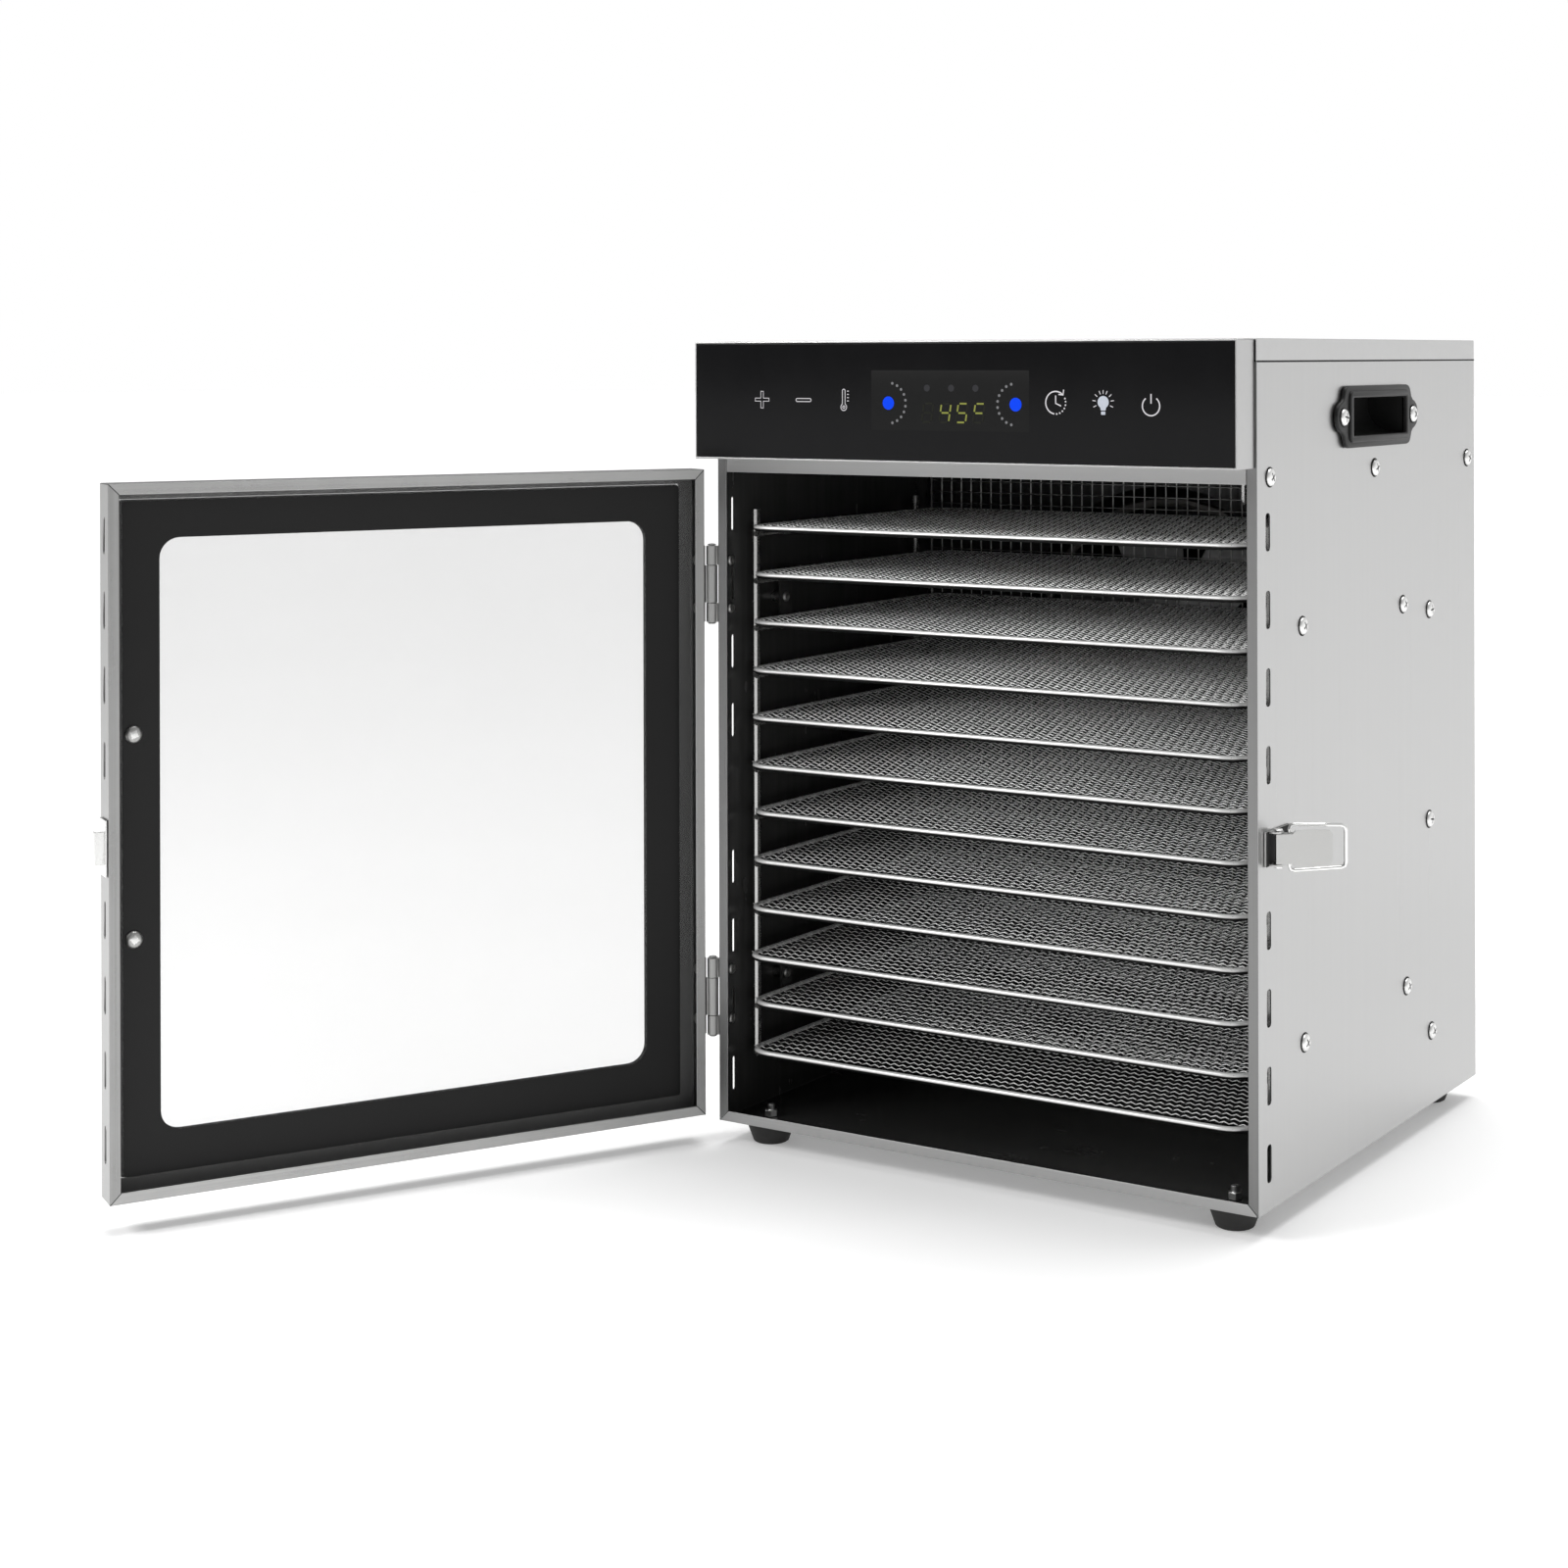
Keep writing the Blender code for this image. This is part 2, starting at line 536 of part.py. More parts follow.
def latch_pin():
    profile = [(0, LATCH_Z - 11.2), (2.6, LATCH_Z - 11.2), (2.6, LATCH_Z - 10.3), (1.7, LATCH_Z - 10.3),
               (1.7, LATCH_Z + 10.3), (2.6, LATCH_Z + 10.3), (2.6, LATCH_Z + 11.2), (0, LATCH_Z + 11.2)]
    return node("latch_pin", turned(profile, (LATCH_X, LATCH_Y, 0.0), "z", 12), BRIGHT)


def latch_lever():
    """Finger lever, drawn lying closed along the cabinet and swung out on its pin."""
    def lx(w):
        return LATCH_X + w

    def ly(u):
        return LATCH_Y + u
    neck = box((lx(3.0), lx(4.2)), (ly(-2.4), ly(8.0)), (LATCH_Z - 8.5, LATCH_Z + 8.5))
    outline = [(LATCH_Z - 8.5, 7.0), (LATCH_Z - 10.5, 9.0), (LATCH_Z - 10.5, 29.0), (LATCH_Z - 8.0, 31.0),
               (LATCH_Z + 8.0, 31.0), (LATCH_Z + 10.5, 29.0), (LATCH_Z + 10.5, 9.0), (LATCH_Z + 8.5, 7.0)]
    wide = plate([(ly(u), z) for z, u in outline], "x", lx(3.0), lx(4.2))
    cheeks = bmesh.new()
    side = [(-2.3, -1.2), (-1.0, -2.4), (3.6, -2.4), (3.6, 11.0), (1.0, 11.0), (-3.0, 9.2), (-3.0, 5.0)]
    for z in (LATCH_Z - 8.5, LATCH_Z + 7.3):
        plate([(lx(w), ly(u)) for w, u in side], "z", z, z + 1.2, shape=cheeks)
    bores = rod("z", LATCH_X, LATCH_Y, LATCH_Z - 14, LATCH_Z + 14, 1.8, 12)
    rod("z", lx(BAIL_W), ly(BAIL_U), LATCH_Z - 14, LATCH_Z + 14, 1.3, 12, bores)
    return node("latch_lever", neck, BRIGHT, add=[wide, cheeks], cut=[bores],
                pivot=(LATCH_X, LATCH_Y, LATCH_Z), turn=-LEVER_OPEN)


def latch_bail():
    """Wire loop hung in the lever cheeks, resting around the open lever."""
    turn = LEVER_OPEN
    along, out = (math.sin(turn), math.cos(turn)), (math.cos(turn), -math.sin(turn))
    x = LATCH_X + BAIL_U * along[0] + BAIL_W * out[0]
    y = LATCH_Y + BAIL_U * along[1] + BAIL_W * out[1]
    corners = []
    for reach, half in ((0.0, 13.3), (BAIL_REACH, 12.0)):
        for sign in (-1, 1) if reach == 0 else (1, -1):
            corners.append((reach, sign * half))
    path = []
    for i, (u, w) in enumerate(corners):
        for near in (-1, 1):
            other = corners[(i + near) % 4]
            full = math.hypot(other[0] - u, other[1] - w)
            path.append((x, y + u + (other[0] - u) * 3 / full, LATCH_Z + w + (other[1] - w) * 3 / full))
        a, b = path[-2], path[-1]
        path.insert(-1, tuple((p + q) / 2 * 0.5 + c * 0.5 for p, q, c in zip(a, b, (x, y + u, LATCH_Z + w))))
    loop = wire(path, 1.2, closed=True)
    return node("latch_bail", loop, BRIGHT, pivot=(x, y, LATCH_Z), turn=-turn)


def carry_handle(name, left):
    """Moulded recessed grip: an eared flange on the side sheet and the cup behind it."""
    def sx(x):
        return -x if left else WIDTH + x
    y, z = 178.0, 452.5
    outline = [(-54.5, 19), (54.5, 19), (56, 12), (67, 7), (67, -7), (56, -12), (54.5, -19), (-54.5, -19),
               (-56, -12), (-67, -7), (-67, 7), (-56, 12)]
    flange = plate([(y + u, z + v) for u, v in outline], "x", *sorted((sx(GAP), sx(3.0))))
    cup = plate(rounded((y - 46, y + 46), (z - 13.6, z + 13.6), 4.0, 3), "x", *sorted((sx(1.0), sx(-24.0))))
    hollow = box((sx(-22.0), sx(8.0)), (y - 44, y + 44), (z - 11.6, z + 11.6))
    for vert in hollow.verts:
        if abs(vert.co.x - sx(-22.0)) < 0.1:
            vert.co.y = y + (vert.co.y - y) * 0.8
            vert.co.z = z + 3.5 + (vert.co.z - z) * 0.5
    return node(name, flange, PLASTIC, add=[cup], cut=[hollow])


def foot(name, x, y):
    profile = [(0, -FOOT_HEIGHT), (10.5, -FOOT_HEIGHT), (11.5, -13.7), (16.0, -1.4), (15.2, -GAP), (3.1, -GAP),
               (3.1, -10.0), (0, -10.0)]
    return node(name, turned(profile, (x, y, 0.0), "z", 20), RUBBER)


def foot_bolt(name, x, y):
    """Bolt up through the floor sheet with its nut clamped inside the cabinet."""
    shape = plate(ring(x, y, 4.4, 6), "z", SHEET + GAP, SHEET + 4.3)
    return node(name, shape, BRIGHT, add=[rod("z", x, y, -9.6, SHEET + 8.0, 2.4, 12)])


def power_inlet():
    """Moulded socket at the rear for a detachable lead."""
    flange = box((45.0, 87.0), (DEPTH + GAP, DEPTH + 3.0), (434.0, 462.0))
    body = box((52.5, 79.5), (DEPTH - 22.0, DEPTH + 1.0), (438.5, 457.5))
    mouth = box((54.5, 77.5), (DEPTH - 14.0, DEPTH + 6.0), (440.5, 455.5))
    return node("power_inlet", flange, PLASTIC, add=[body], cut=[mouth])


def clear_scene():
    for thing in list(bpy.data.objects):
        bpy.data.objects.remove(thing, do_unlink=True)


FEET = ((25.0, 22.3), (WIDTH - 25.0, 22.3), (25.0, DEPTH - 24.0), (WIDTH - 25.0, DEPTH - 24.0))
HANDLE_X = 360.3
HANDLE_Z = (151.9, 271.3)

clear_scene()
CABINET = bpy.data.collections.new("drying_cabinet")
CUTTERS = bpy.data.collections.new("cutters")
for group in (CABINET, CUTTERS):
    bpy.context.scene.collection.children.link(group)

side_panel("side_panel_left", True)
side_panel("side_panel_right", False)
base_panel()
rear_panel()
top_lid()
chamber_ceiling()
header_rail()
fan_partition()
fan_guard()
fan_motor()
motor_bracket()
fan_impeller()
heater_coil()
chamber_lamp()
temperature_probe()
control_housing()
control_glass()
display_board()
power_board()
rack("rack_left", True)
rack("rack_right", False)
for tray_index in range(TRAYS):
    tray(tray_index)
door_frame()
door_glass()
door_handle()
door_strike()
hinge("hinge_upper", HINGE_Z[1])
hinge("hinge_lower", HINGE_Z[0])
latch_base()
latch_pin()
latch_lever()
latch_bail()
carry_handle("carry_handle_left", True)
carry_handle("carry_handle_right", False)
for foot_index, (foot_x, foot_y) in enumerate(FEET):
    foot(f"foot_{foot_index + 1}", foot_x, foot_y)
    foot_bolt(f"foot_bolt_{foot_index + 1}", foot_x, foot_y)
power_inlet()
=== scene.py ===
"""Looks of a twelve-tray electric drying cabinet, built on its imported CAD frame, in metres."""

import json
import math

import bmesh
import bpy
from mathutils import Matrix, Vector

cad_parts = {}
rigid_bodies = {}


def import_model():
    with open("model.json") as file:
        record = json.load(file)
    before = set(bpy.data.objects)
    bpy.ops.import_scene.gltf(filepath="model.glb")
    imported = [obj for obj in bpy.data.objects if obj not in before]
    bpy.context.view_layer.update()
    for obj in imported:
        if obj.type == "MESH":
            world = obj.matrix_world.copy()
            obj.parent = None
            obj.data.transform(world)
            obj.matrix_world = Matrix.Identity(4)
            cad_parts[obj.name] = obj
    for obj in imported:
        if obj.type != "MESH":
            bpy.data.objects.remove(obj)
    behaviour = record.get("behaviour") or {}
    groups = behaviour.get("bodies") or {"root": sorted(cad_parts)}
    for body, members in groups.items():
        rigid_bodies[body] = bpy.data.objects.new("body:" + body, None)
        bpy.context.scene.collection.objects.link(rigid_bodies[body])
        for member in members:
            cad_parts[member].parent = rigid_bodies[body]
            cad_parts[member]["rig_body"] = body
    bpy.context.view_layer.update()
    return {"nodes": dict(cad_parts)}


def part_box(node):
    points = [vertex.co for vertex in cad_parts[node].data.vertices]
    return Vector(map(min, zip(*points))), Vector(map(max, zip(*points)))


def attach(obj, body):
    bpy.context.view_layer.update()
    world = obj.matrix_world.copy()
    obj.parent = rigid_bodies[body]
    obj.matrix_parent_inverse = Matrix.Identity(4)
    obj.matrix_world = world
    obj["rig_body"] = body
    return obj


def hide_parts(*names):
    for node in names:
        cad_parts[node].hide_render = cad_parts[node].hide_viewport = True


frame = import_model()


# ----------------------------------------------------------
# Studio: a pale floor that runs out to a white surround, a soft lamp at the front left, a broad sun from
# above, and the camera. None of it belongs to the cabinet.
MM = 0.001


class Flow:
    """One socket of a node tree, so that a pattern is written as sums and products."""

    def __init__(self, socket):
        self.socket = socket

    @classmethod
    def of(cls, tree, kind, settings=None, values=None, output=0):
        """Adds a node: its settings first, a ramp's stops among them, then its sockets' values or links."""
        node = tree.nodes.new(kind)
        for name, setting in (settings or {}).items():
            if name != "stops":
                setattr(node, name, setting)
                continue
            for spot, (place, tone) in enumerate(setting):
                stops = node.color_ramp.elements
                stop = stops[spot] if spot < 2 else stops.new(place)
                stop.position, stop.color = place, (tone, tone, tone, 1.0)
        for name, value in (values or {}).items():
            if isinstance(value, Flow):
                tree.links.new(value.socket, node.inputs[name])
            else:
                node.inputs[name].default_value = value
        return cls(node.outputs[output])

    def out(self, name):
        return Flow(self.socket.node.outputs[name])

    def axis(self, name):
        """One component of a vector; the others are its out."""
        return self.of(self.socket.id_data, "ShaderNodeSeparateXYZ", None, {0: self}, output=name)

    def maths(self, operation, first, second=0.0):
        return self.of(self.socket.id_data, "ShaderNodeMath", {"operation": operation}, {0: first, 1: second})

    def __add__(self, other):
        return self.maths("ADD", self, other)

    def __sub__(self, other):
        return self.maths("SUBTRACT", self, other)

    def __rsub__(self, other):
        return self.maths("SUBTRACT", other, self)

    def __mul__(self, other):
        return self.maths("MULTIPLY", self, other)

    def __truediv__(self, other):
        return self.maths("DIVIDE", self, other)

    def __gt__(self, other):
        return self.maths("GREATER_THAN", self, other)

    def __lt__(self, other):
        return self.maths("LESS_THAN", self, other)

    def __abs__(self):
        return self.maths("ABSOLUTE", self)

    __radd__ = __add__
    __rmul__ = __mul__


def new_finish(name):
    made = bpy.data.materials.new(name)
    made.use_nodes = True
    made.node_tree.nodes.clear()
    return made, made.node_tree


def surface(tree, factor, low, high, **sockets):
    """A finish between two tones; the shader's other sockets are named with _ for a space."""
    values = {name.replace("_", " "): value for name, value in sockets.items()}
    values["Base Color"] = blend_tone(tree, factor, low, high)
    shader = Flow.of(tree, "ShaderNodeBsdfPrincipled", None, values)
    end = tree.nodes.new("ShaderNodeOutputMaterial")
    tree.links.new(shader.socket, end.inputs["Surface"])


def place_on(tree):
    """The place on the object, in metres."""
    return Flow.of(tree, "ShaderNodeTexCoord", output="Object")


def noise(tree, vector, detail, rough):
    return Flow.of(tree, "ShaderNodeTexNoise", None,
                   {"Vector": vector, "Scale": 1.0, "Detail": detail, "Roughness": rough}, output="Fac")


def cells_of(tree, scale, **settings):
    """Distance in a cell pattern, in cells per metre."""
    return Flow.of(tree, "ShaderNodeTexVoronoi", settings, {"Vector": place_on(tree), "Scale": scale},
                   output="Distance")


def grain(tree, scale, detail=2.0, rough=0.5):
    """Noise with one fineness, or its own along x, y and z, in features per metre."""
    scale = (scale,) * 3 if isinstance(scale, float) else scale
    stretched = Flow.of(tree, "ShaderNodeMapping", {"vector_type": "POINT"},
                        {"Vector": place_on(tree), "Scale": scale})
    return noise(tree, stretched, detail, rough)


def blend_tone(tree, factor, low, high):
    """A colour between two, chosen by a number; a plain number is a grey."""
    ends = [(end,) * 3 if isinstance(end, float) else end for end in (low, high)]
    low, high = [end if isinstance(end, Flow) else (*end, 1.0) for end in ends]
    return Flow.of(tree, "ShaderNodeMix", {"data_type": "RGBA"}, {0: factor, 6: low, 7: high}, output=2)


def relief(tree, height, strength, depth):
    return Flow.of(tree, "ShaderNodeBump", None, {"Height": height, "Strength": strength, "Distance": depth})


scene = bpy.context.scene
scene.view_settings.view_transform = "Standard"


def stand(name, data):
    """A new object in the scene."""
    made = bpy.data.objects.new(name, data)
    scene.collection.objects.link(made)
    return made


surround = bpy.data.worlds.new("white surround")
scene.world = surround
surround.use_nodes = True
sky = surround.node_tree
sky.nodes.clear()
heading = Flow.of(sky, "ShaderNodeTexCoord", output="Generated")
to_front = Flow.of(sky, "ShaderNodeVectorMath", {"operation": "DOT_PRODUCT"},
                   {0: heading, 1: (-0.45, -0.89, 0.0)}, output="Value")
level = Flow.of(sky, "ShaderNodeValToRGB",
                {"stops": [(0.0, 1.0), (1.0, 0.2), (0.3, 0.8), (0.58, 0.6)]}, {0: to_front * 0.5 + 0.5})
height = heading.axis("Z")
level = level * (1.0 - height.maths("MAXIMUM", height, 0.0) * 0.55)
seen = Flow.of(sky, "ShaderNodeLightPath", output="Is Camera Ray")
glow = Flow.of(sky, "ShaderNodeBackground", None,
               {"Color": (1.0, 1.0, 1.0, 1.0), "Strength": seen + (1.0 - seen) * level})
end = sky.nodes.new("ShaderNodeOutputWorld")
sky.links.new(glow.socket, end.inputs["Surface"])

lamp = bpy.data.lights.new("front left lamp", "AREA")
lamp.shape, lamp.size, lamp.size_y, lamp.energy = "RECTANGLE", 1.1, 0.8, 34.0
lamp_place, lamp_aim = Vector((-1.35, -1.75, 1.75)), Vector((0.0, -0.1, 0.2))
holder = stand("front left lamp", lamp)
holder.location = lamp_place
holder.rotation_euler = (lamp_aim - lamp_place).to_track_quat("-Z", "Y").to_euler()

overhead = bpy.data.lights.new("overhead sun", "SUN")
overhead.energy, overhead.angle = 2.1, math.radians(40.0)
stand("overhead sun", overhead).rotation_euler = (math.radians(-12.0), 0.0, 0.0)

FLOOR = 30
floor_mesh = bpy.data.meshes.new("studio_floor")
floor_mesh.from_pydata([(-FLOOR, -FLOOR, 0), (FLOOR, -FLOOR, 0), (FLOOR, FLOOR, 0), (-FLOOR, FLOOR, 0)], [],
                       [(0, 1, 2, 3)])
studio_floor = stand("studio_floor", floor_mesh)
floor_paint, tree = new_finish("matt white floor")
surface(tree, grain(tree, 3.0), 0.86, 0.89, Roughness=0.9, Specular_IOR_Level=0.1,
        Emission_Color=(1.0, 1.0, 1.0, 1.0), Emission_Strength=0.22)
floor_mesh.materials.append(floor_paint)

lens = bpy.data.cameras.new("camera")
lens.lens, lens.sensor_width, lens.shift_x, lens.shift_y = 61.63, 36.0, -0.0642, -0.2725
lens.clip_start, lens.clip_end = 0.01, 100.0
camera = stand("camera", lens)
camera.location = (0.8181, -1.5837, 0.5045)
camera.rotation_euler = (math.radians(90.0), 0.0026, math.radians(32.05))
scene.camera = camera


# ----------------------------------------------------------
# Body: side sheets with front flanges and rear sheet, 1 mm stainless brushed upright, the front flanges
# painted darker as painted shade and the chamber side painted near black as painted shade, and the folded
# lid, brushed across. Corners are broken where sheet is bent or sheared.
WIDTH, DEPTH, FOOT = 376.0, 358.0, 14.5
LID_UNDERSIDE = 486.0
WELD = 0.000002
HINGE_SCREWS = (359.0, 328.0, 95.0, 63.0)


def at(x, y, z):
    """World metres from millimetres: x from the left side, y from the front, z from the chamber floor."""
    return Vector(((x - WIDTH / 2) * MM, (y - DEPTH / 2) * MM, (z + FOOT) * MM))


def brushed_steel(name, along, tone=0.60, rough=0.30, cloud=0.10):
    """Satin stainless: hair scratches along one axis, broader streaks, faint clouds and dulled patches."""
    made, tree = new_finish(name)
    hair = grain(tree, [9.0 if axis == along else 2300.0 for axis in "xyz"], 3.0, 0.6)
    streak = grain(tree, [2.5 if axis == along else 260.0 for axis in "xyz"], 3.0, 0.55)
    patch = grain(tree, 6.0, 3.0)
    mix = hair * 0.3 + streak * 0.4 + patch * 0.3
    low, high = tone * (1.0 - cloud), tone * (1.0 + cloud)
    surface(tree, mix, (low, low, low * 0.995), (high, high, high * 0.995), Metallic=1.0,
            Roughness=rough - 0.11 + hair * 0.1 + streak * 0.08 + patch * 0.06,
            Normal=relief(tree, hair, 0.12, 0.00002))
    return made


def chamber_painted_shade(name, along):
    """Near black inside the chamber as painted shade, glossy, with faint rolling marks and dust."""
    made, tree = new_finish(name)
    streak = grain(tree, [4.0 if axis == along else 180.0 for axis in "xyz"], 4.0, 0.6)
    patch = grain(tree, 22.0, 4.0, 0.6)
    surface(tree, streak * 0.6 + patch * 0.4, 0.013, (0.045, 0.045, 0.044), Specular_IOR_Level=0.4,
            Roughness=0.12 + patch * 0.16 + streak * 0.08, Normal=relief(tree, streak, 0.08, 0.00005))
    return made


def smooth(mesh, turn):
    """Smooth shading with sharp edges where faces meet at more than the angle."""
    mesh.shade_smooth()
    mesh.set_sharp_from_angle(angle=math.radians(turn))


def eased(name, node, finishes, edge=0.3, rules=(), turn=35.0):
    """A welded copy of a CAD part, corners broken; a rule is (finish number, test of x, y, z in mm)."""
    mesh = frame["nodes"][node].data.copy()
    mesh.name = name
    mesh.materials.clear()
    shape = bmesh.new()
    shape.from_mesh(mesh)
    bmesh.ops.remove_doubles(shape, verts=shape.verts, dist=WELD)
    bmesh.ops.dissolve_limit(shape, angle_limit=math.radians(1.5), verts=shape.verts, edges=shape.edges)
    for face in shape.faces:
        middle = face.calc_center_median()
        place = (middle.x / MM + WIDTH / 2, middle.y / MM + DEPTH / 2, middle.z / MM - FOOT)
        face.material_index = next((index for index, test in rules if test(*place)), 0)
    shape.to_mesh(mesh)
    shape.free()
    for finish in finishes:
        mesh.materials.append(finish)
    smooth(mesh, turn)
    made = stand(name, mesh)
    if edge:
        bevel = made.modifiers.new("broken corners", "BEVEL")
        bevel.width, bevel.segments, bevel.limit_method = edge * MM, 2, "ANGLE"
        bevel.angle_limit, bevel.harden_normals = math.radians(turn), True
    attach(made, frame["nodes"][node]["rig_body"])
    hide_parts(node)


side_steel = brushed_steel("upright brushed steel", "z", tone=0.5)
# The front flanges are the side sheets' own steel painted darker: painted shade for the flanges that face the
# dim front.
flange_painted_shade_steel = brushed_steel("front flange painted shade steel", "z", tone=0.21, cloud=0.25)
cross_steel = brushed_steel("cross brushed steel", "x", tone=0.53)
side_painted_shade = chamber_painted_shade("side painted shade", "z")


def chamber_face(x, y, z):
    """The inner face of a side sheet, between its front flange and the lid, which takes the chamber's painted
    shade.
    """
    return 0.1 < min(x, WIDTH - x) < 1.4 and y > 1.3 and z < LID_UNDERSIDE


# The inner faces of the side and rear sheets take the chamber's painted shade.
for side in ("left", "right"):
    eased(f"{side}_side_sheet", f"side_panel_{side}", (side_steel, side_painted_shade, flange_painted_shade_steel),
          rules=((1, chamber_face), (2, lambda x, y, z: y < 0.2)))
eased("rear_sheet", "rear_panel", (side_steel, side_painted_shade),
      rules=((1, lambda x, y, z: DEPTH - 1.2 < y < DEPTH - 0.8),))
eased("folded_lid", "top_lid", (cross_steel,), edge=0.4)


# ----------------------------------------------------------
# Chamber: floor sheet with a bright front lip, ceiling sheet, and the upright partition in front of the fan,
# all but the lip painted near black as painted shade. The floor drops between the side sheets and its lip is
# mitred into their flanges.
floor_painted_shade = chamber_painted_shade("floor painted shade", "x")
lip_steel = brushed_steel("lip steel", "x", tone=0.4, cloud=0.2)
eased("floor_sheet", "base_panel", (floor_painted_shade, lip_steel),
      rules=((1, lambda x, y, z: y < 1.2 or z < 0.1),))
eased("ceiling_sheet", "chamber_ceiling", (floor_painted_shade,))
eased("partition_sheet", "fan_partition", (side_painted_shade,))
eased("header_strip", "header_rail", (lip_steel,))


# ----------------------------------------------------------
# Screws: pan heads on the body's sides and rear, each with a dark ring of painted shadow under it and painted
# shade in its cross recess, and the rack and hinge bolts inside. Each is set on its sheet, facing outwards,
# at its own turn.
def bright_metal(name, tone, rough, wear=0.08, fine=900.0):
    """Bright drawn or plated metal with small dull specks and handling haze."""
    made, tree = new_finish(name)
    speck = grain(tree, (fine, fine, fine), 3.0, 0.6)
    haze = grain(tree, 60.0, 3.0)
    mix = speck * 0.5 + haze * 0.5
    low = tuple(t * (1.0 - 2.0 * wear) for t in tone)
    surface(tree, mix, low, tone, Metallic=1.0,
            Roughness=rough - 0.06 + haze * 0.14 + speck * 0.06, Normal=relief(tree, speck, 0.06, 0.00002))
    return made


def tree_of(name, sockets):
    """An empty Geometry Nodes tree with a Geometry input and the named inputs given as (name, type)."""
    made = bpy.data.node_groups.new(name, "GeometryNodeTree")
    for label, kind in (("Geometry", "NodeSocketGeometry"), *sockets):
        made.interface.new_socket(label, in_out="INPUT", socket_type=kind)
    made.interface.new_socket("Geometry", in_out="OUTPUT", socket_type="NodeSocketGeometry")
    return made, Flow.of(made, "NodeGroupInput")


def close_tree(tree, shape, given):
    """Ends a tree in plain, real geometry with its material."""
    real = Flow.of(tree, "GeometryNodeRealizeInstances", None, {0: shape})
    painted = Flow.of(tree, "GeometryNodeSetMaterial", None,
                      {"Geometry": real, "Material": given.out("Material")})
    end = tree.nodes.new("NodeGroupOutput")
    tree.links.new(painted.socket, end.inputs[0])


def grown(name, tree, values, start=None):
    """Runs a tree on a start mesh and returns the plain mesh that it makes."""
    carrier = stand(name, start or bpy.data.meshes.new(name))
    change = carrier.modifiers.new("made", "NODES")
    change.node_group = tree
    for socket in tree.interface.items_tree:
        if socket.in_out == "INPUT" and socket.name in values:
            change[socket.identifier] = values[socket.name]
    graph = bpy.context.evaluated_depsgraph_get()
    mesh = bpy.data.meshes.new_from_object(carrier.evaluated_get(graph))
    bpy.data.objects.remove(carrier, do_unlink=True)
    mesh.name = name
    return mesh


def piece(name, mesh, body, nodes=()):
    made = stand(name, mesh)
    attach(made, body)
    if nodes:
        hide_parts(*nodes)


set_out, given = tree_of("set out on a face", (
    ("Part", "NodeSocketObject"), ("Seed", "NodeSocketInt"), ("Spin", "NodeSocketFloat"),
    ("Material", "NodeSocketMaterial")))
part = Flow.of(set_out, "GeometryNodeObjectInfo", None, {"Object": given.out("Part")}, output="Geometry")
facing = Flow.of(set_out, "GeometryNodeInputNamedAttribute", {"data_type": "FLOAT_VECTOR"},
                 {"Name": "facing"})
upright = Flow.of(set_out, "FunctionNodeAlignRotationToVector", {"axis": "Z"}, {"Vector": facing})
chance = Flow.of(set_out, "FunctionNodeRandomValue", {"data_type": "FLOAT"},
                 {2: 0.0, 3: given.out("Spin"), "Seed": given.out("Seed")}, output=1)
about = Flow.of(set_out, "FunctionNodeAxisAngleToRotation", None, {"Axis": (0.0, 0.0, 1.0), "Angle": chance})
turned_to = Flow.of(set_out, "FunctionNodeRotateRotation", {"rotation_space": "LOCAL"},
                    {"Rotation": upright, "Rotate By": about})
placed = Flow.of(set_out, "GeometryNodeInstanceOnPoints", None,
                 {"Points": given, "Instance": part, "Rotation": turned_to})
close_tree(set_out, placed, given)


def spots(places):
    """A mesh of loose points, each with the way it faces."""
    mesh = bpy.data.meshes.new("spots")
    mesh.from_pydata([tuple(p) for p, _ in places], [], [])
    layer = mesh.attributes.new("facing", "FLOAT_VECTOR", "POINT")
    for value, (_, way) in zip(layer.data, places):
        value.vector = way
    return mesh


def fastened(name, model, seed, finish, places, body="cabinet", spin=3.1):
    """A copy of a small part at each place, facing outwards and turned at random by up to the spin."""
    values = {"Part": model, "Seed": seed, "Spin": spin, "Material": finish}
    piece(name, grown(name, set_out, values, spots(places)), body)


def as_mesh(name, shape):
    """The plain mesh of a shape that is finished with."""
    mesh = bpy.data.meshes.new(name)
    shape.to_mesh(mesh)
    shape.free()
    return mesh


def lathe(name, profile, sides):
    """A profile of (radius, height) pairs in mm spun about z, welded, facing outwards."""
    shape = bmesh.new()
    verts = [shape.verts.new((r * MM, 0.0, h * MM)) for r, h in profile]
    edges = [shape.edges.new(pair) for pair in zip(verts, verts[1:])]
    bmesh.ops.spin(shape, geom=verts + edges, cent=(0, 0, 0), axis=(0, 0, 1), angle=2 * math.pi, steps=sides)
    bmesh.ops.remove_doubles(shape, verts=shape.verts, dist=WELD)
    bmesh.ops.recalc_face_normals(shape, faces=shape.faces)
    return as_mesh(name, shape)


def cross_bars(name, size, flat, middle):
    """Two crossed bars: length, breadth and height of the first in mm, height of the second, mid height."""
    shape = bmesh.new()
    for turn, height in ((0.0, size[2]), (math.pi / 2, flat)):
        bmesh.ops.create_cube(shape, size=1.0, matrix=Matrix.Translation((0, 0, middle * MM))
                              @ Matrix.Rotation(turn, 4, "Z")
                              @ Matrix.Diagonal((size[0] * MM, size[1] * MM, height * MM, 1.0)))
    return as_mesh(name, shape)


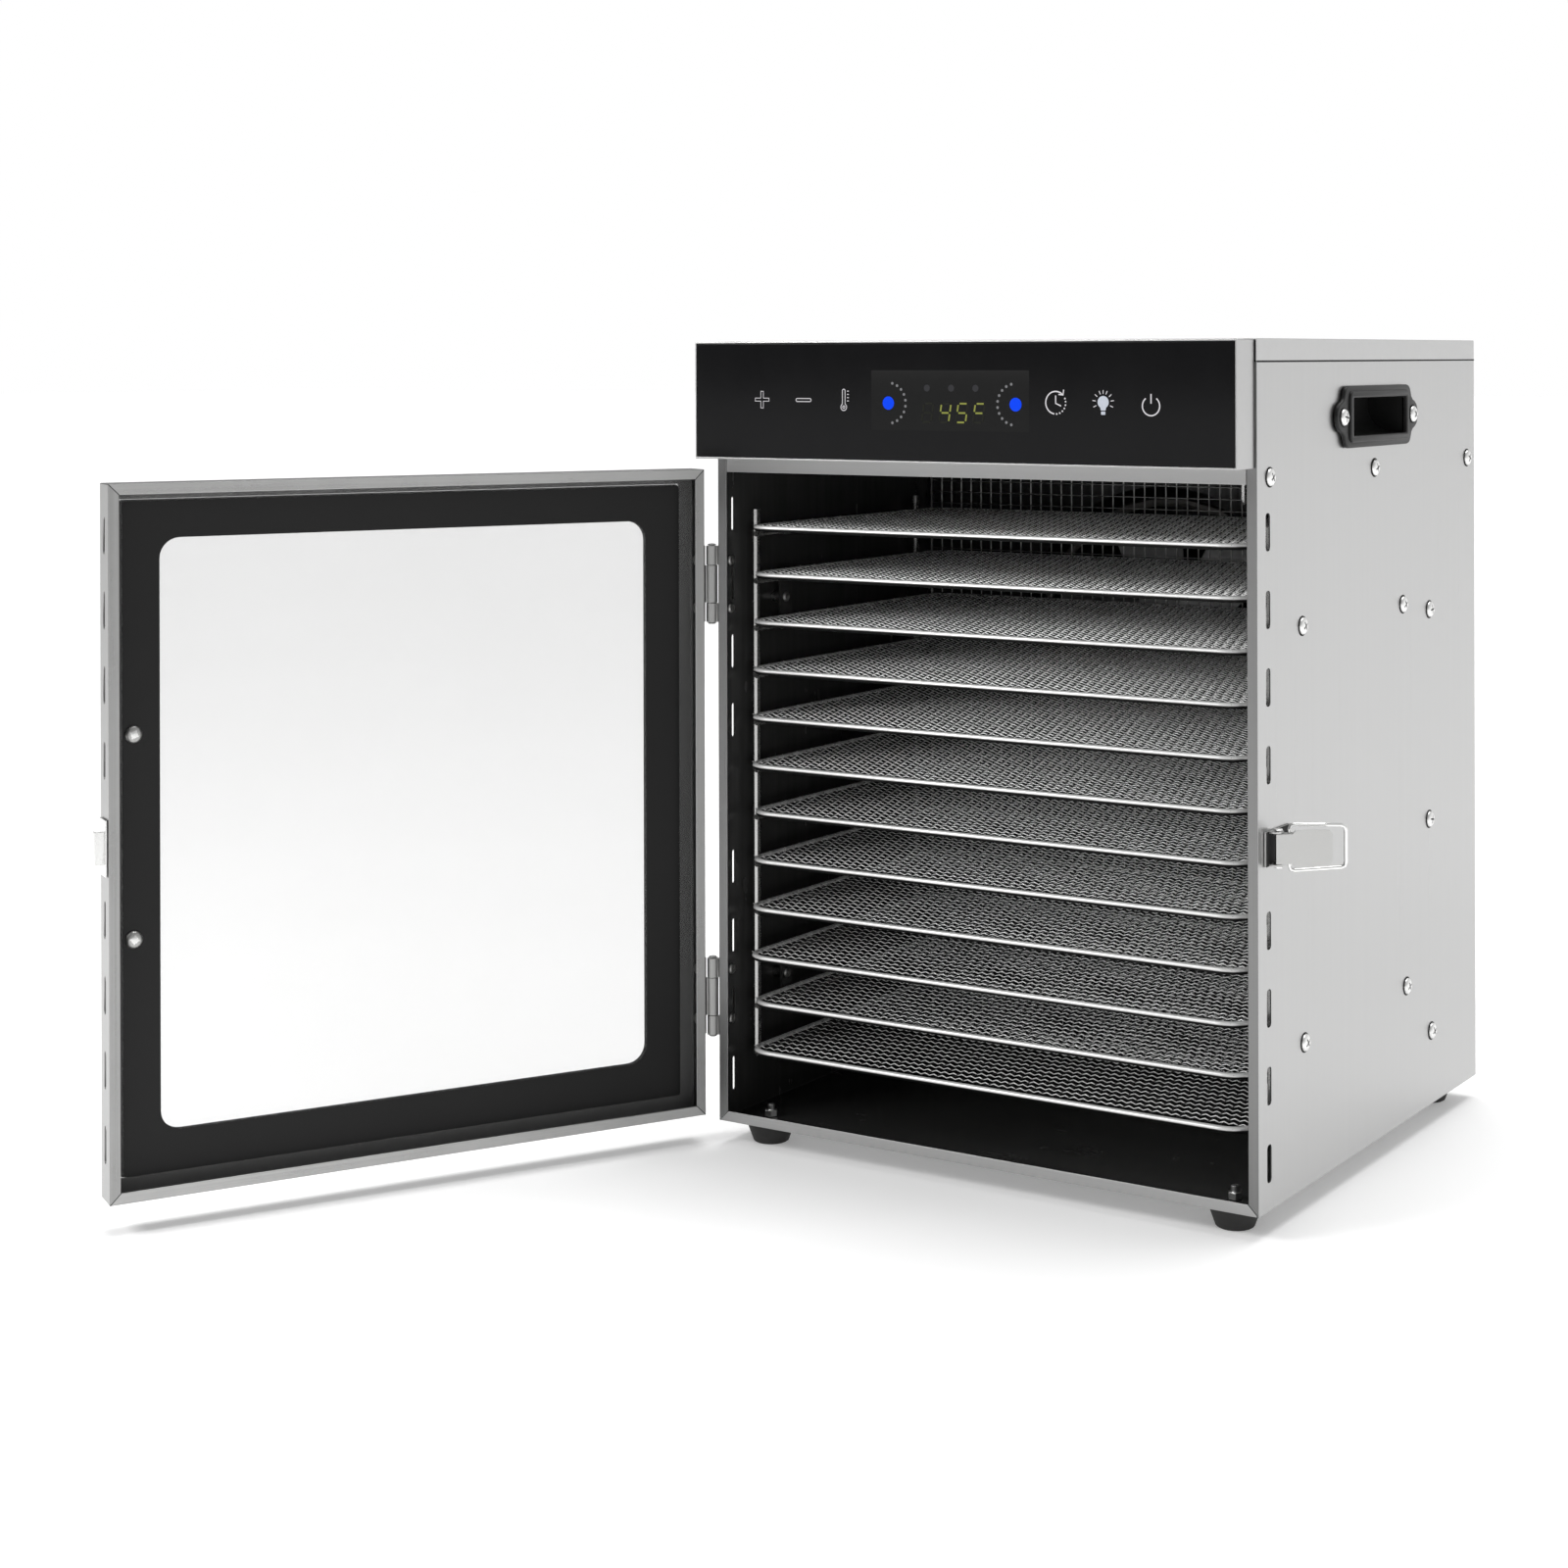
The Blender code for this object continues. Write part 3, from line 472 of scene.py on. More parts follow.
def screw_head(name, radius, height, sides=20):
    """A domed pan head with a cross recess, its seat on z = 0."""
    made = stand(name, lathe(name, [
        (0, -0.2), (radius * 0.98, -0.2), (radius, height * 0.18), (radius * 0.93, height * 0.55),
        (radius * 0.72, height * 0.85), (radius * 0.4, height * 0.98), (0, height)], sides))
    recess = (radius * 1.1, radius * 0.2, height * 1.1)
    tool = stand("cross", cross_bars("cross", recess, recess[2], height * 1.05))
    cut = made.modifiers.new("recess", "BOOLEAN")
    cut.operation, cut.solver, cut.object, cut.use_self = "DIFFERENCE", "EXACT", tool, True
    graph = bpy.context.evaluated_depsgraph_get()
    result = bpy.data.meshes.new_from_object(made.evaluated_get(graph))
    made.modifiers.clear()
    made.data = result
    bpy.data.objects.remove(tool, do_unlink=True)
    smooth(result, 40.0)
    return made


plated = bright_metal("plated screw", (0.95, 0.95, 0.94), 0.36)
dull_bolt = bright_metal("dull bolt", (0.42, 0.42, 0.41), 0.34)
pan_head = screw_head("pan_head", 5.2, 2.5)
small_head = screw_head("small_head", 3.4, 1.6, 16)
# Near black for painted shadow and shade: the rings under the screw heads, their cross recesses, the latch
# plate between its ears and the seam under the lid.
painted_shadow_black, tree = new_finish("painted shadow")
dust = grain(tree, 600.0, 2.0)
surface(tree, dust, 0.002, 0.01, Roughness=0.8 + dust * 0.1)
# Painted shadow: a dark ring under each screw head, and a dark cross in each recess as painted shade.
screw_seat = stand("screw_seat", lathe("screw_seat", [
    (0, -0.1), (5.9, -0.1), (6.0, 0.2), (5.6, 0.5), (0, 0.5)], 24))
recess_shade = stand("recess_shade", cross_bars("recess_shade", (5.6, 1.0, 0.58), 0.6, 1.5))

SIDE_SCREWS = ((17.7, 420.3), (177.6, 420.1), (343.4, 420.8), (64.0, 331.0), (225.0, 331.0), (66.0, 85.5),
               (230.0, 86.0), (272.0, 324.0), (271.0, 187.0), (274.0, 48.0))
CARRY_Y, CARRY_Z, EAR, FLANGE = 178.0, 452.5, 57.3, 3.0
REAR_SCREWS = tuple((x, z) for x in (12.0, 188.0, 364.0) for z in (12.0, 472.0)) + (
    (12.0, 240.0), (364.0, 240.0), (88.0, 288.0), (288.0, 288.0), (45.0, 470.0), (87.0, 470.0))
body_screws = []
for x, side in ((WIDTH, 1), (0.0, -1)):
    body_screws += [(at(x, y, z), (side, 0, 0)) for y, z in SIDE_SCREWS]
    body_screws += [(at(x + side * FLANGE, CARRY_Y + ear, CARRY_Z), (side, 0, 0)) for ear in (-EAR, EAR)]
body_screws += [(at(x, DEPTH, z), (0, 1, 0)) for x, z in REAR_SCREWS]
fastened("body_screws", pan_head, 4, plated, body_screws)
fastened("screw_seats", screw_seat, 4, painted_shadow_black, body_screws, spin=0.0)
fastened("screw_recesses", recess_shade, 4, painted_shadow_black, body_screws)

TAB, TABS_Y, TABS_Z = 10.4, (62.0, 227.0), (84.0, 332.0)
rack_bolts = [(at(x, y, z), (side, 0, 0)) for x, side in ((TAB, 1), (WIDTH - TAB, -1))
              for y in TABS_Y for z in TABS_Z]
rack_bolts += [(at(1.0, 12.5, z), (1, 0, 0)) for z in HINGE_SCREWS]
fastened("rack_bolt_heads", small_head, 9, dull_bolt, rack_bolts)


# ----------------------------------------------------------
# Fan and heater behind the partition: a round motor on a strap, an aluminium impeller, a tube heater in a
# ring about it and a foam filter behind the rear slots, with the lamp, the probe and the circuit boards.
def dress(node, finish):
    """Gives a CAD part that is already the right shape its finish."""
    mesh = frame["nodes"][node].data
    mesh.materials.clear()
    mesh.materials.append(finish)


motor_grey, tree = new_finish("motor steel")
speck = grain(tree, 500.0, 3.0)
surface(tree, speck, (0.2, 0.2, 0.205), (0.34, 0.34, 0.345), Metallic=0.9, Roughness=0.34 + speck * 0.16)
dress("fan_motor", motor_grey)
dress("motor_bracket", bright_metal("strap steel", (0.2, 0.2, 0.2), 0.36))
dress("fan_impeller", bright_metal("rolled aluminium", (0.3, 0.3, 0.3), 0.36, fine=260.0))

heat_tint, tree = new_finish("heater tube")
scale_marks = grain(tree, 120.0, 4.0, 0.65)
surface(tree, scale_marks, (0.07, 0.066, 0.062), (0.3, 0.29, 0.28), Metallic=0.85,
        Roughness=0.3 + scale_marks * 0.3, Normal=relief(tree, scale_marks, 0.2, 0.0001))
dress("heater_coil", heat_tint)

foam_black, tree = new_finish("filter foam")
pores = cells_of(tree, 900.0, feature="F1")
surface(tree, pores, 0.004, 0.02, Roughness=0.85 + pores * 0.1, Normal=relief(tree, pores, 0.6, 0.0004))
FAN_X, FAN_Z = 188.0, 288.0
foam = lathe("intake_filter", [(0, 0), (75.0, 0), (76.0, 0.8), (76.0, 1.8), (75.0, 2.6), (0, 2.6)], 56)
foam.transform(Matrix.Translation(at(FAN_X, DEPTH - 3.9, FAN_Z)) @ Matrix.Rotation(-math.pi / 2, 4, "X"))
foam.materials.append(foam_black)
piece("intake_filter", foam, "cabinet")

lamp_lens, tree = new_finish("frosted lens")
frost = grain(tree, 900.0, 2.0)
surface(tree, frost, (0.16, 0.155, 0.145), (0.24, 0.235, 0.22), Roughness=0.3 + frost * 0.2)
dress("chamber_lamp", lamp_lens)
dress("temperature_probe", bright_metal("probe steel", (0.76, 0.76, 0.75), 0.24))

board_green, tree = new_finish("circuit board")
tracks = cells_of(tree, 190.0, feature="DISTANCE_TO_EDGE", distance="CHEBYCHEV") < 0.06
surface(tree, tracks, (0.008, 0.075, 0.035), (0.03, 0.2, 0.09), Roughness=0.36 + tracks * 0.14,
        Normal=relief(tree, tracks, 0.3, 0.00004))
for board in ("display_board", "power_board"):
    dress(board, board_green)


# ----------------------------------------------------------
# Safety guard: welded screen of thin straight wires on an 8 mm square pitch, standing across the rear of
# the chamber in front of the fan, with a heavier wire around its edge.
def across_only(tree, mesh, limit=0.00002):
    """Leaves a grid's edges that run along x, and makes each row a curve."""
    ends = Flow.of(tree, "GeometryNodeInputMeshEdgeVertices", output="Position 1")
    step = Flow.of(tree, "ShaderNodeVectorMath", {"operation": "SUBTRACT"},
                   {0: ends, 1: ends.out("Position 2")})
    rows = Flow.of(tree, "GeometryNodeDeleteGeometry", {"domain": "EDGE", "mode": "EDGE_FACE"},
                   {"Geometry": mesh, "Selection": abs(step.axis("Y")) > limit})
    return Flow.of(tree, "GeometryNodeMeshToCurve", None, {"Mesh": rows})


def drawn(tree, curve, radius, sides):
    """Round wire along a curve."""
    round_wire = Flow.of(tree, "GeometryNodeCurvePrimitiveCircle", {"mode": "RADIUS"},
                         {"Resolution": sides, "Radius": radius})
    tube = Flow.of(tree, "GeometryNodeCurveToMesh", None,
                   {"Curve": curve, "Profile Curve": round_wire, "Fill Caps": True})
    return Flow.of(tree, "GeometryNodeSetShadeSmooth", None, {"Geometry": tube})


def turned_by(tree, shape, move=(0.0, 0.0, 0.0), turn=(0.0, 0.0, 0.0)):
    return Flow.of(tree, "GeometryNodeTransform", None,
                   {"Geometry": shape, "Translation": move, "Rotation": turn})


def together(tree, *shapes):
    join = tree.nodes.new("GeometryNodeJoinGeometry")
    for shape in reversed(shapes):
        tree.links.new(shape.socket, join.inputs[0])
    return Flow(join.outputs[0])


screen_tree, given = tree_of("welded screen", (
    ("Width", "NodeSocketFloat"), ("Height", "NodeSocketFloat"), ("Columns", "NodeSocketInt"),
    ("Rows", "NodeSocketInt"), ("Wire radius", "NodeSocketFloat"), ("Edge radius", "NodeSocketFloat"),
    ("Material", "NodeSocketMaterial")))
families = []
for run, span, count, turn, lift, thin in (("Width", "Height", "Rows", 0.0, 0.0, 0.6),
                                           ("Height", "Width", "Columns", math.pi / 2, -0.001, 1.0)):
    lines = Flow.of(screen_tree, "GeometryNodeMeshGrid", None,
                    {"Size X": given.out(run), "Size Y": given.out(span), "Vertices X": 3,
                     "Vertices Y": given.out(count)})
    wires = drawn(screen_tree, across_only(screen_tree, lines), given.out("Wire radius") * thin, 6)
    families.append(turned_by(screen_tree, wires, (0.0, 0.0, lift), (0.0, 0.0, turn)))
border = Flow.of(screen_tree, "GeometryNodeCurvePrimitiveQuadrilateral", None,
                 {"Width": given.out("Width"), "Height": given.out("Height")})
families.append(drawn(screen_tree, border, given.out("Edge radius"), 8))
stood = turned_by(screen_tree, together(screen_tree, *families), turn=(math.pi / 2, 0.0, 0.0))
close_tree(screen_tree, stood, given)

guard_low, guard_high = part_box("fan_guard")
guard_size = guard_high - guard_low
guard_wire = bright_metal("guard wire", (0.8, 0.8, 0.79), 0.3)
guard = grown("guard_screen", screen_tree, {
    "Width": guard_size.x - 0.002, "Height": guard_size.z - 0.002, "Columns": 46, "Rows": 51,
    "Wire radius": 0.00055, "Edge radius": 0.001, "Material": guard_wire})
guard.transform(Matrix.Translation((guard_low + guard_high) / 2))
piece("guard_screen", guard, "cabinet", ("fan_guard",))


# ----------------------------------------------------------
# Tray racks: bright wire welded up, two posts and twelve rungs a side, with bolted tabs.
# Trays: a round rim wire bent to rounded corners, and a screen of crimped wires woven and welded to it.
rack_wire = bright_metal("rack wire", (0.5, 0.5, 0.49), 0.22)


def tab_face(x, y, z):
    """The flat tabs that bolt a rack to its side sheet, which take the chamber's painted shade."""
    beside = min(abs(y - tab) for tab in TABS_Y) < 9.0 and min(abs(z - tab) for tab in TABS_Z) < 13.0
    return beside and 8.7 < min(x, WIDTH - x) < 10.6


for side in ("left", "right"):
    eased(f"{side}_rack", f"rack_{side}", (rack_wire, side_painted_shade), edge=0,
          rules=((1, tab_face),))

weave, given = tree_of("crimped screen tray", (
    ("Width", "NodeSocketFloat"), ("Depth", "NodeSocketFloat"), ("Cells across", "NodeSocketInt"),
    ("Cells deep", "NodeSocketInt"), ("Wire radius", "NodeSocketFloat"), ("Rim radius", "NodeSocketFloat"),
    ("Corner", "NodeSocketFloat"), ("Lift", "NodeSocketFloat"), ("Crimp", "NodeSocketFloat"),
    ("Material", "NodeSocketMaterial")))
BENDS = 6


def mark_painted_shade(tree, curves, value):
    """How much painted shade a wire gets in its finish, 0 on a lit crest and more in a hollow, on the rim and
    on the wires that run front to back.
    """
    return Flow.of(tree, "GeometryNodeStoreNamedAttribute", {"data_type": "FLOAT", "domain": "POINT"},
                   {"Geometry": curves, "Name": "valley", "Value": value})


families = []
for run, span, along, count, turn, thick in (
        ("Width", "Depth", "Cells across", "Cells deep", 0.0, 1.0),
        ("Depth", "Width", "Cells deep", "Cells across", math.pi / 2, 0.7)):
    pitch = given.out(run) / given.out(along)
    gap = given.out(span) / given.out(count)
    lines = Flow.of(weave, "GeometryNodeMeshGrid", None,
                    {"Size X": given.out(run), "Size Y": given.out(span) - 2.0 * gap,
                     "Vertices X": given.out(along) * BENDS + 1.0, "Vertices Y": given.out(count) - 1.0})
    strands = across_only(weave, lines)
    apart = Flow.of(weave, "GeometryNodeInputPosition").axis("X")
    row = (apart.out("Y") / gap).maths("ROUND", apart.out("Y") / gap)
    odd = abs(row).maths("MODULO", abs(row), 2.0)
    wave = apart * (3.0 * math.pi) / pitch
    swell = wave.maths("COSINE", wave) * (1.0 - 2.0 * odd)
    # Painted shade: the wires that run front to back get 0.8, the others more towards their hollows.
    valley = 0.8 if turn else 0.24 - swell * 0.24
    marked = mark_painted_shade(weave, strands, valley)
    height = swell * given.out("Crimp") * (-1.0 if turn else 1.0)
    shift = Flow.of(weave, "ShaderNodeCombineXYZ", None, {"Z": height + given.out("Lift")})
    crimped = Flow.of(weave, "GeometryNodeSetPosition", None, {"Geometry": marked, "Offset": shift})
    families.append(turned_by(weave, drawn(weave, crimped, given.out("Wire radius") * thick, 4),
                              turn=(0.0, 0.0, turn)))
rim_line = Flow.of(weave, "GeometryNodeCurvePrimitiveQuadrilateral", None,
                   {"Width": given.out("Width"), "Height": given.out("Depth")})
rim_bent = Flow.of(weave, "GeometryNodeFilletCurve", {"mode": "POLY"},
                   {"Curve": rim_line, "Radius": given.out("Corner"), "Count": 7})
families.append(drawn(weave, mark_painted_shade(weave, rim_bent, 0.44), given.out("Rim radius"), 14))
close_tree(weave, together(weave, *families), given)

# The tray wire is painted dark in the weave's hollows, on the wires that run front to back, a little on the
# rim and wherever it faces down: painted shade.
tray_wire, tree = new_finish("tray wire")
valley = Flow.of(tree, "ShaderNodeAttribute", {"attribute_name": "valley"}, output="Fac")
painted_shade = Flow.of(tree, "ShaderNodeValToRGB", {"stops": [(0.4, 0.0), (0.85, 1.0)]}, {0: valley})
haze = grain(tree, 60.0, 3.0)
speck = grain(tree, 400.0, 3.0, 0.6)
upward = Flow.of(tree, "ShaderNodeNewGeometry", output="Normal").axis("Z")
under = Flow.of(tree, "ShaderNodeValToRGB", {"stops": [(0.44, 1.0), (0.6, 0.0)]}, {0: upward * 0.5 + 0.5})
painted_shade = painted_shade.maths("MAXIMUM", painted_shade, under)
crest = blend_tone(tree, haze * 0.6 + speck * 0.4, (0.93, 0.93, 0.92), (1.0, 1.0, 0.99))
surface(tree, painted_shade, crest, (0.012, 0.012, 0.0118), Metallic=0.25 + painted_shade * 0.7,
        Roughness=0.24 + haze * 0.1 + painted_shade * 0.2)
first_low, first_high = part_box("tray_01")
rim = 2.0 * MM
tray_mesh = grown("tray", weave, {
    "Width": first_high.x - first_low.x - 2 * rim, "Depth": first_high.y - first_low.y - 2 * rim,
    "Cells across": 38, "Cells deep": 28, "Wire radius": 0.0005, "Rim radius": rim, "Corner": 0.017,
    "Lift": 0.0013, "Crimp": 0.00058, "Material": tray_wire})
for number in range(1, 13):
    low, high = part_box(f"tray_{number:02d}")
    mesh = tray_mesh.copy()
    mesh.transform(Matrix.Translation((low + high) / 2 + Vector((0.0, 0.0, rim - 2.2 * MM))))
    piece(f"woven_tray_{number:02d}", mesh, f"tray_body_{number:02d}", (f"tray_{number:02d}",))


# ----------------------------------------------------------
# Control head: a folded steel housing that stands forward of the cabinet, closed by a black glass touch
# panel with a display window, printed symbols and two blue lamps behind it.
eased("control_head_shell", "control_housing", (brushed_steel("head steel", "x", tone=0.5),))

panel_black, tree = new_finish("black panel glass")
smear = grain(tree, (30.0, 30.0, 14.0), 4.0, 0.6)
surface(tree, smear, (0.004, 0.004, 0.0045), (0.007, 0.007, 0.0075), Roughness=0.06 + smear * 0.05,
        Specular_IOR_Level=0.14)
eased("touch_panel", "control_glass", (panel_black,), edge=0.5)

GLASS_Y = -24.3
window_tint, tree = new_finish("display window tint")
WINDOW_X, WINDOW_Z = (132.2, 241.9), (445.4, 481.8)
# The window is painted lighter towards its top: a painted highlight.
up = (place_on(tree).axis("Z") - (WINDOW_Z[0] + FOOT) * MM) / ((WINDOW_Z[1] - WINDOW_Z[0]) * MM)
bloom_and_painted_highlight = up.maths("POWER", up, 6.0)
surface(tree, bloom_and_painted_highlight, 0.009, 0.015, Roughness=0.16 + grain(tree, 700.0) * 0.06, Specular_IOR_Level=0.16)


def glowing(name, tone, dim):
    """A colour that glows, a little uneven across the mark: the light of a lamp or lit digit, or a painted
    glow on printed marks and unlit parts.
    """
    made, tree = new_finish(name)
    uneven = grain(tree, 420.0, 2.0)
    low = tuple(t * dim for t in tone)
    surface(tree, uneven, 0.002, 0.006, Roughness=0.35 + uneven * 0.1, Specular_IOR_Level=0.05,
            Emission_Color=blend_tone(tree, uneven, low, tone), Emission_Strength=1.0)
    return made


# The printed marks, the unlit digits, the dots and the discs are made to glow as painted light; the blue
# lamps and the lit digits are lamps.
symbol_white_painted_glow = glowing("printed white painted glow", (0.78, 0.76, 0.79), 0.85)
bulb_white_painted_glow = glowing("printed cool white painted glow", (0.62, 0.66, 0.74), 0.85)
lamp_blue = glowing("blue lamp", (0.0, 0.065, 1.0), 0.9)
digit_lit = glowing("lit digit", (0.3, 0.32, 0.07), 0.8)
unlit_digit_painted_glow = glowing("unlit digit painted glow", (0.017, 0.018, 0.013), 0.8)
dot_painted_glow = glowing("dim dot painted glow", (0.24, 0.24, 0.25), 0.8)
disc_painted_glow = glowing("dim disc painted glow", (0.04, 0.04, 0.044), 0.8)


def flat_plate(name, outlines, depth, finish):
    """Thin printed areas standing a hair forward of the glass; outlines are (x, z) loops in mm."""
    shape = bmesh.new()
    for loop in outlines:
        front = [shape.verts.new(at(x, GLASS_Y - depth, z)) for x, z in loop]
        rear = [shape.verts.new(at(x, GLASS_Y, z)) for x, z in loop]
        shape.faces.new(front)
        shape.faces.new(rear[::-1])
        for i in range(len(loop)):
            j = (i + 1) % len(loop)
            shape.faces.new((front[j], front[i], rear[i], rear[j]))
    bmesh.ops.recalc_face_normals(shape, faces=shape.faces)
    mesh = as_mesh(name, shape)
    mesh.materials.append(finish)
    piece(name, mesh, "cabinet")


def arc(x, z, radius, start, stop, steps=24):
    """Points round a centre, angles in degrees from the right, anticlockwise."""
    turns = [math.radians(start + (stop - start) * i / steps) for i in range(steps + 1)]
    return [(x + radius * math.cos(t), z + radius * math.sin(t)) for t in turns]


def soft_corners(x, z, radius, steps=5):
    """Loop of a rectangle with rounded corners."""
    loop = []
    for cx, cz, start in ((x[1] - radius, z[1] - radius, 0), (x[0] + radius, z[1] - radius, 90),
                          (x[0] + radius, z[0] + radius, 180), (x[1] - radius, z[0] + radius, 270)):
        loop += arc(cx, cz, radius, start, start + 90, steps)
    return loop


flat_plate("display_window", [soft_corners(WINDOW_X, WINDOW_Z, 0.8)], 0.04, window_tint)

line_tree, given = tree_of("printed line", (("Line radius", "NodeSocketFloat"), ("Plane", "NodeSocketFloat"),
                                            ("Thin", "NodeSocketFloat"), ("Material", "NodeSocketMaterial")))
strokes = Flow.of(line_tree, "GeometryNodeMeshToCurve", None, {"Mesh": given})
beads = drawn(line_tree, strokes, given.out("Line radius"), 8)
level_y = Flow.of(line_tree, "GeometryNodeInputPosition").axis("Y")
pressed = Flow.of(line_tree, "ShaderNodeCombineXYZ", None,
                  {"Y": (given.out("Plane") - level_y) * (1.0 - given.out("Thin"))})
flattened = Flow.of(line_tree, "GeometryNodeSetPosition", None, {"Geometry": beads, "Offset": pressed})
close_tree(line_tree, flattened, given)


def printed(name, lines, radius, finish, lift=0.05):
    """Printed strokes on the panel, from lists of (x, z) points in mm; a loop repeats its first point."""
    verts, edges = [], []
    for line in lines:
        closed = line[0] == line[-1]
        points = line[:-1] if closed else line
        start = len(verts)
        verts += [tuple(at(x, GLASS_Y - lift, z)) for x, z in points]
        edges += [(start + i, start + i + 1) for i in range(len(points) - 1)]
        if closed:
            edges.append((start + len(points) - 1, start))
    mesh = bpy.data.meshes.new(name)
    mesh.from_pydata(verts, edges, [])
    values = {"Line radius": radius * MM, "Plane": at(0, GLASS_Y - lift, 0).y, "Thin": 0.12,
              "Material": finish}
    piece(name, grown(name, line_tree, values, mesh), "cabinet")


def ring_of(loop):
    return loop + loop[:1]


def plus_outline(x, z, reach, half):
    corner = ((reach, half), (half, half), (half, reach), (-half, reach), (-half, half), (-reach, half),
              (-reach, -half), (-half, -half), (-half, -reach), (half, -reach), (half, -half), (reach, -half))
    return ring_of([(x + a, z + b) for a, b in corner])


symbols = [plus_outline(51.5, 463.4, 5.2, 0.95), ring_of(soft_corners((77.0, 88.2), (462.4, 464.3), 0.9, 3))]
symbols += [arc(112.2, 459.2, 2.1, 118, 422, 16) + [(113.18, 469.2)] + arc(112.2, 469.2, 0.98, 0, 180, 8)[1:]
            + [(111.22, 461.05)], ring_of(arc(112.2, 459.2, 0.8, 0, 324, 9))]
symbols += [[(114.6, z), (115.9, z)] for z in (469.0, 467.0, 465.0, 463.0)]
clock_x, clock_z = 259.5, 462.9
bold = [arc(clock_x, clock_z, 6.6, 48, 262, 30), [(clock_x, clock_z + 4.2), (clock_x, clock_z - 0.4),
                                                  (clock_x + 3.6, clock_z - 1.9)],
        [(clock_x + 5.3, clock_z + 7.6), (clock_x + 4.9, clock_z + 4.5), (clock_x + 1.9, clock_z + 4.9)]]
power_x, power_z = 321.3, 461.4
bold += [arc(power_x, power_z, 5.5, 128, 412, 36), [(power_x, power_z + 1.4), (power_x, power_z + 6.9)]]
bulb_x, bulb_z = 290.6, 463.4
rays = [[(bulb_x + r * math.cos(math.radians(t)), bulb_z + r * math.sin(math.radians(t))) for r in (4.9, 7.0)]
        for t in (-24, 8, 40, 68, 90, 112, 140, 172, 204)]
printed("panel_symbols", symbols, 0.24, symbol_white_painted_glow)
printed("panel_bold_symbols", bold, 0.38, symbol_white_painted_glow)
printed("bulb_rays", rays, 0.24, symbol_white_painted_glow)
flat_plate("bulb_symbol", [arc(bulb_x, bulb_z, 3.6, -58, 238, 26) + [(bulb_x - 1.5, bulb_z - 4.8),
                                                                    (bulb_x + 1.5, bulb_z - 4.8)],
                           soft_corners((bulb_x - 1.4, bulb_x + 1.4), (bulb_z - 7.3, bulb_z - 5.4), 0.5, 3)],
           0.08, bulb_white_painted_glow)

lit, unlit = [], []
DIGIT_WIDTH, DIGIT_HALF, DIGIT_LEAN, DIGIT_FOOT = 6.6, 5.6, 0.9, 450.7
SEGMENTS = {"a": ((0, 2), (1, 2)), "b": ((1, 2), (1, 1)), "c": ((1, 1), (1, 0)), "d": ((0, 0), (1, 0)),
            "e": ((0, 1), (0, 0)), "f": ((0, 2), (0, 1)), "g": ((0, 1), (1, 1))}
for left, shown in ((168.0, ""), (180.2, "bcfg"), (191.9, "acdfg"), (203.6, "afg")):
    for letter, ends in SEGMENTS.items():
        (xa, za), (xb, zb) = [(left + DIGIT_WIDTH * u + DIGIT_LEAN * v, DIGIT_FOOT + DIGIT_HALF * v)
                              for u, v in ends]
        trim_x, trim_z = (xb - xa) * 0.14, (zb - za) * 0.14
        (lit if letter in shown else unlit).append([(xa + trim_x, za + trim_z), (xb - trim_x, zb - trim_z)])
printed("lit_digits", lit, 0.52, digit_lit, 0.09)
printed("unlit_digits", unlit, 0.6, unlit_digit_painted_glow, 0.08)


def dots(name, places, radius, finish):
    """Small round marks on the panel glass."""
    mesh = lathe("dot", [(0, -0.05), (1.0, -0.05), (1.0, 0.05), (0.85, 0.09), (0, 0.1)], 14)
    mesh.transform(Matrix.Diagonal((radius, radius, 0.8, 1.0)))
    smooth(mesh, 40.0)
    model = stand("dot", mesh)
    made = grown(name, set_out, {"Part": model, "Seed": 1, "Spin": 0.0, "Material": finish},
                 spots([(at(x, GLASS_Y - 0.04, z), (0, -1, 0)) for x, z in places]))
    bpy.data.objects.remove(model, do_unlink=True)
    piece(name, made, "cabinet")


lamp_left, lamp_right = (144.4, 461.9), (232.7, 461.6)
ring_dots = []
for (x, z), facing_turn in ((lamp_left, 0), (lamp_right, 180)):
    for turn in [facing_turn + pair + lean for pair in (-68, -34, 0, 34, 68) for lean in (-8.5, 8.5)]:
        ring_dots += arc(x, z, 12.3, turn, turn, 1)[:1]
dots("blue_lamps", (lamp_left, lamp_right), 4.1, lamp_blue)
dots("ring_dots", ring_dots, 0.85, dot_painted_glow)
dots("dim_discs", ((171.7, 471.1), (188.6, 471.1), (205.4, 471.1)), 2.1, disc_painted_glow)
clock_dots = [arc(clock_x, clock_z, 6.6, t, t, 1)[0] for t in (-84, -66, -48, -30, -12, 6, 22)]
dots("clock_dots", clock_dots, 0.5, symbol_white_painted_glow)


# ----------------------------------------------------------
# Door: a folded stainless channel with mitred corners, a pane of glass with a printed black border, a bar
# handle outside on two screws that come through the pane, and the strike for the latch.
SWING = math.radians(-118.85)
HINGE = at(-4.8, -0.2, 0.0)
swung = Matrix.Translation(HINGE) @ Matrix.Rotation(SWING, 4, "Z") @ Matrix.Translation(-HINGE)
swung_turn = Matrix.Rotation(SWING, 3, "Z")

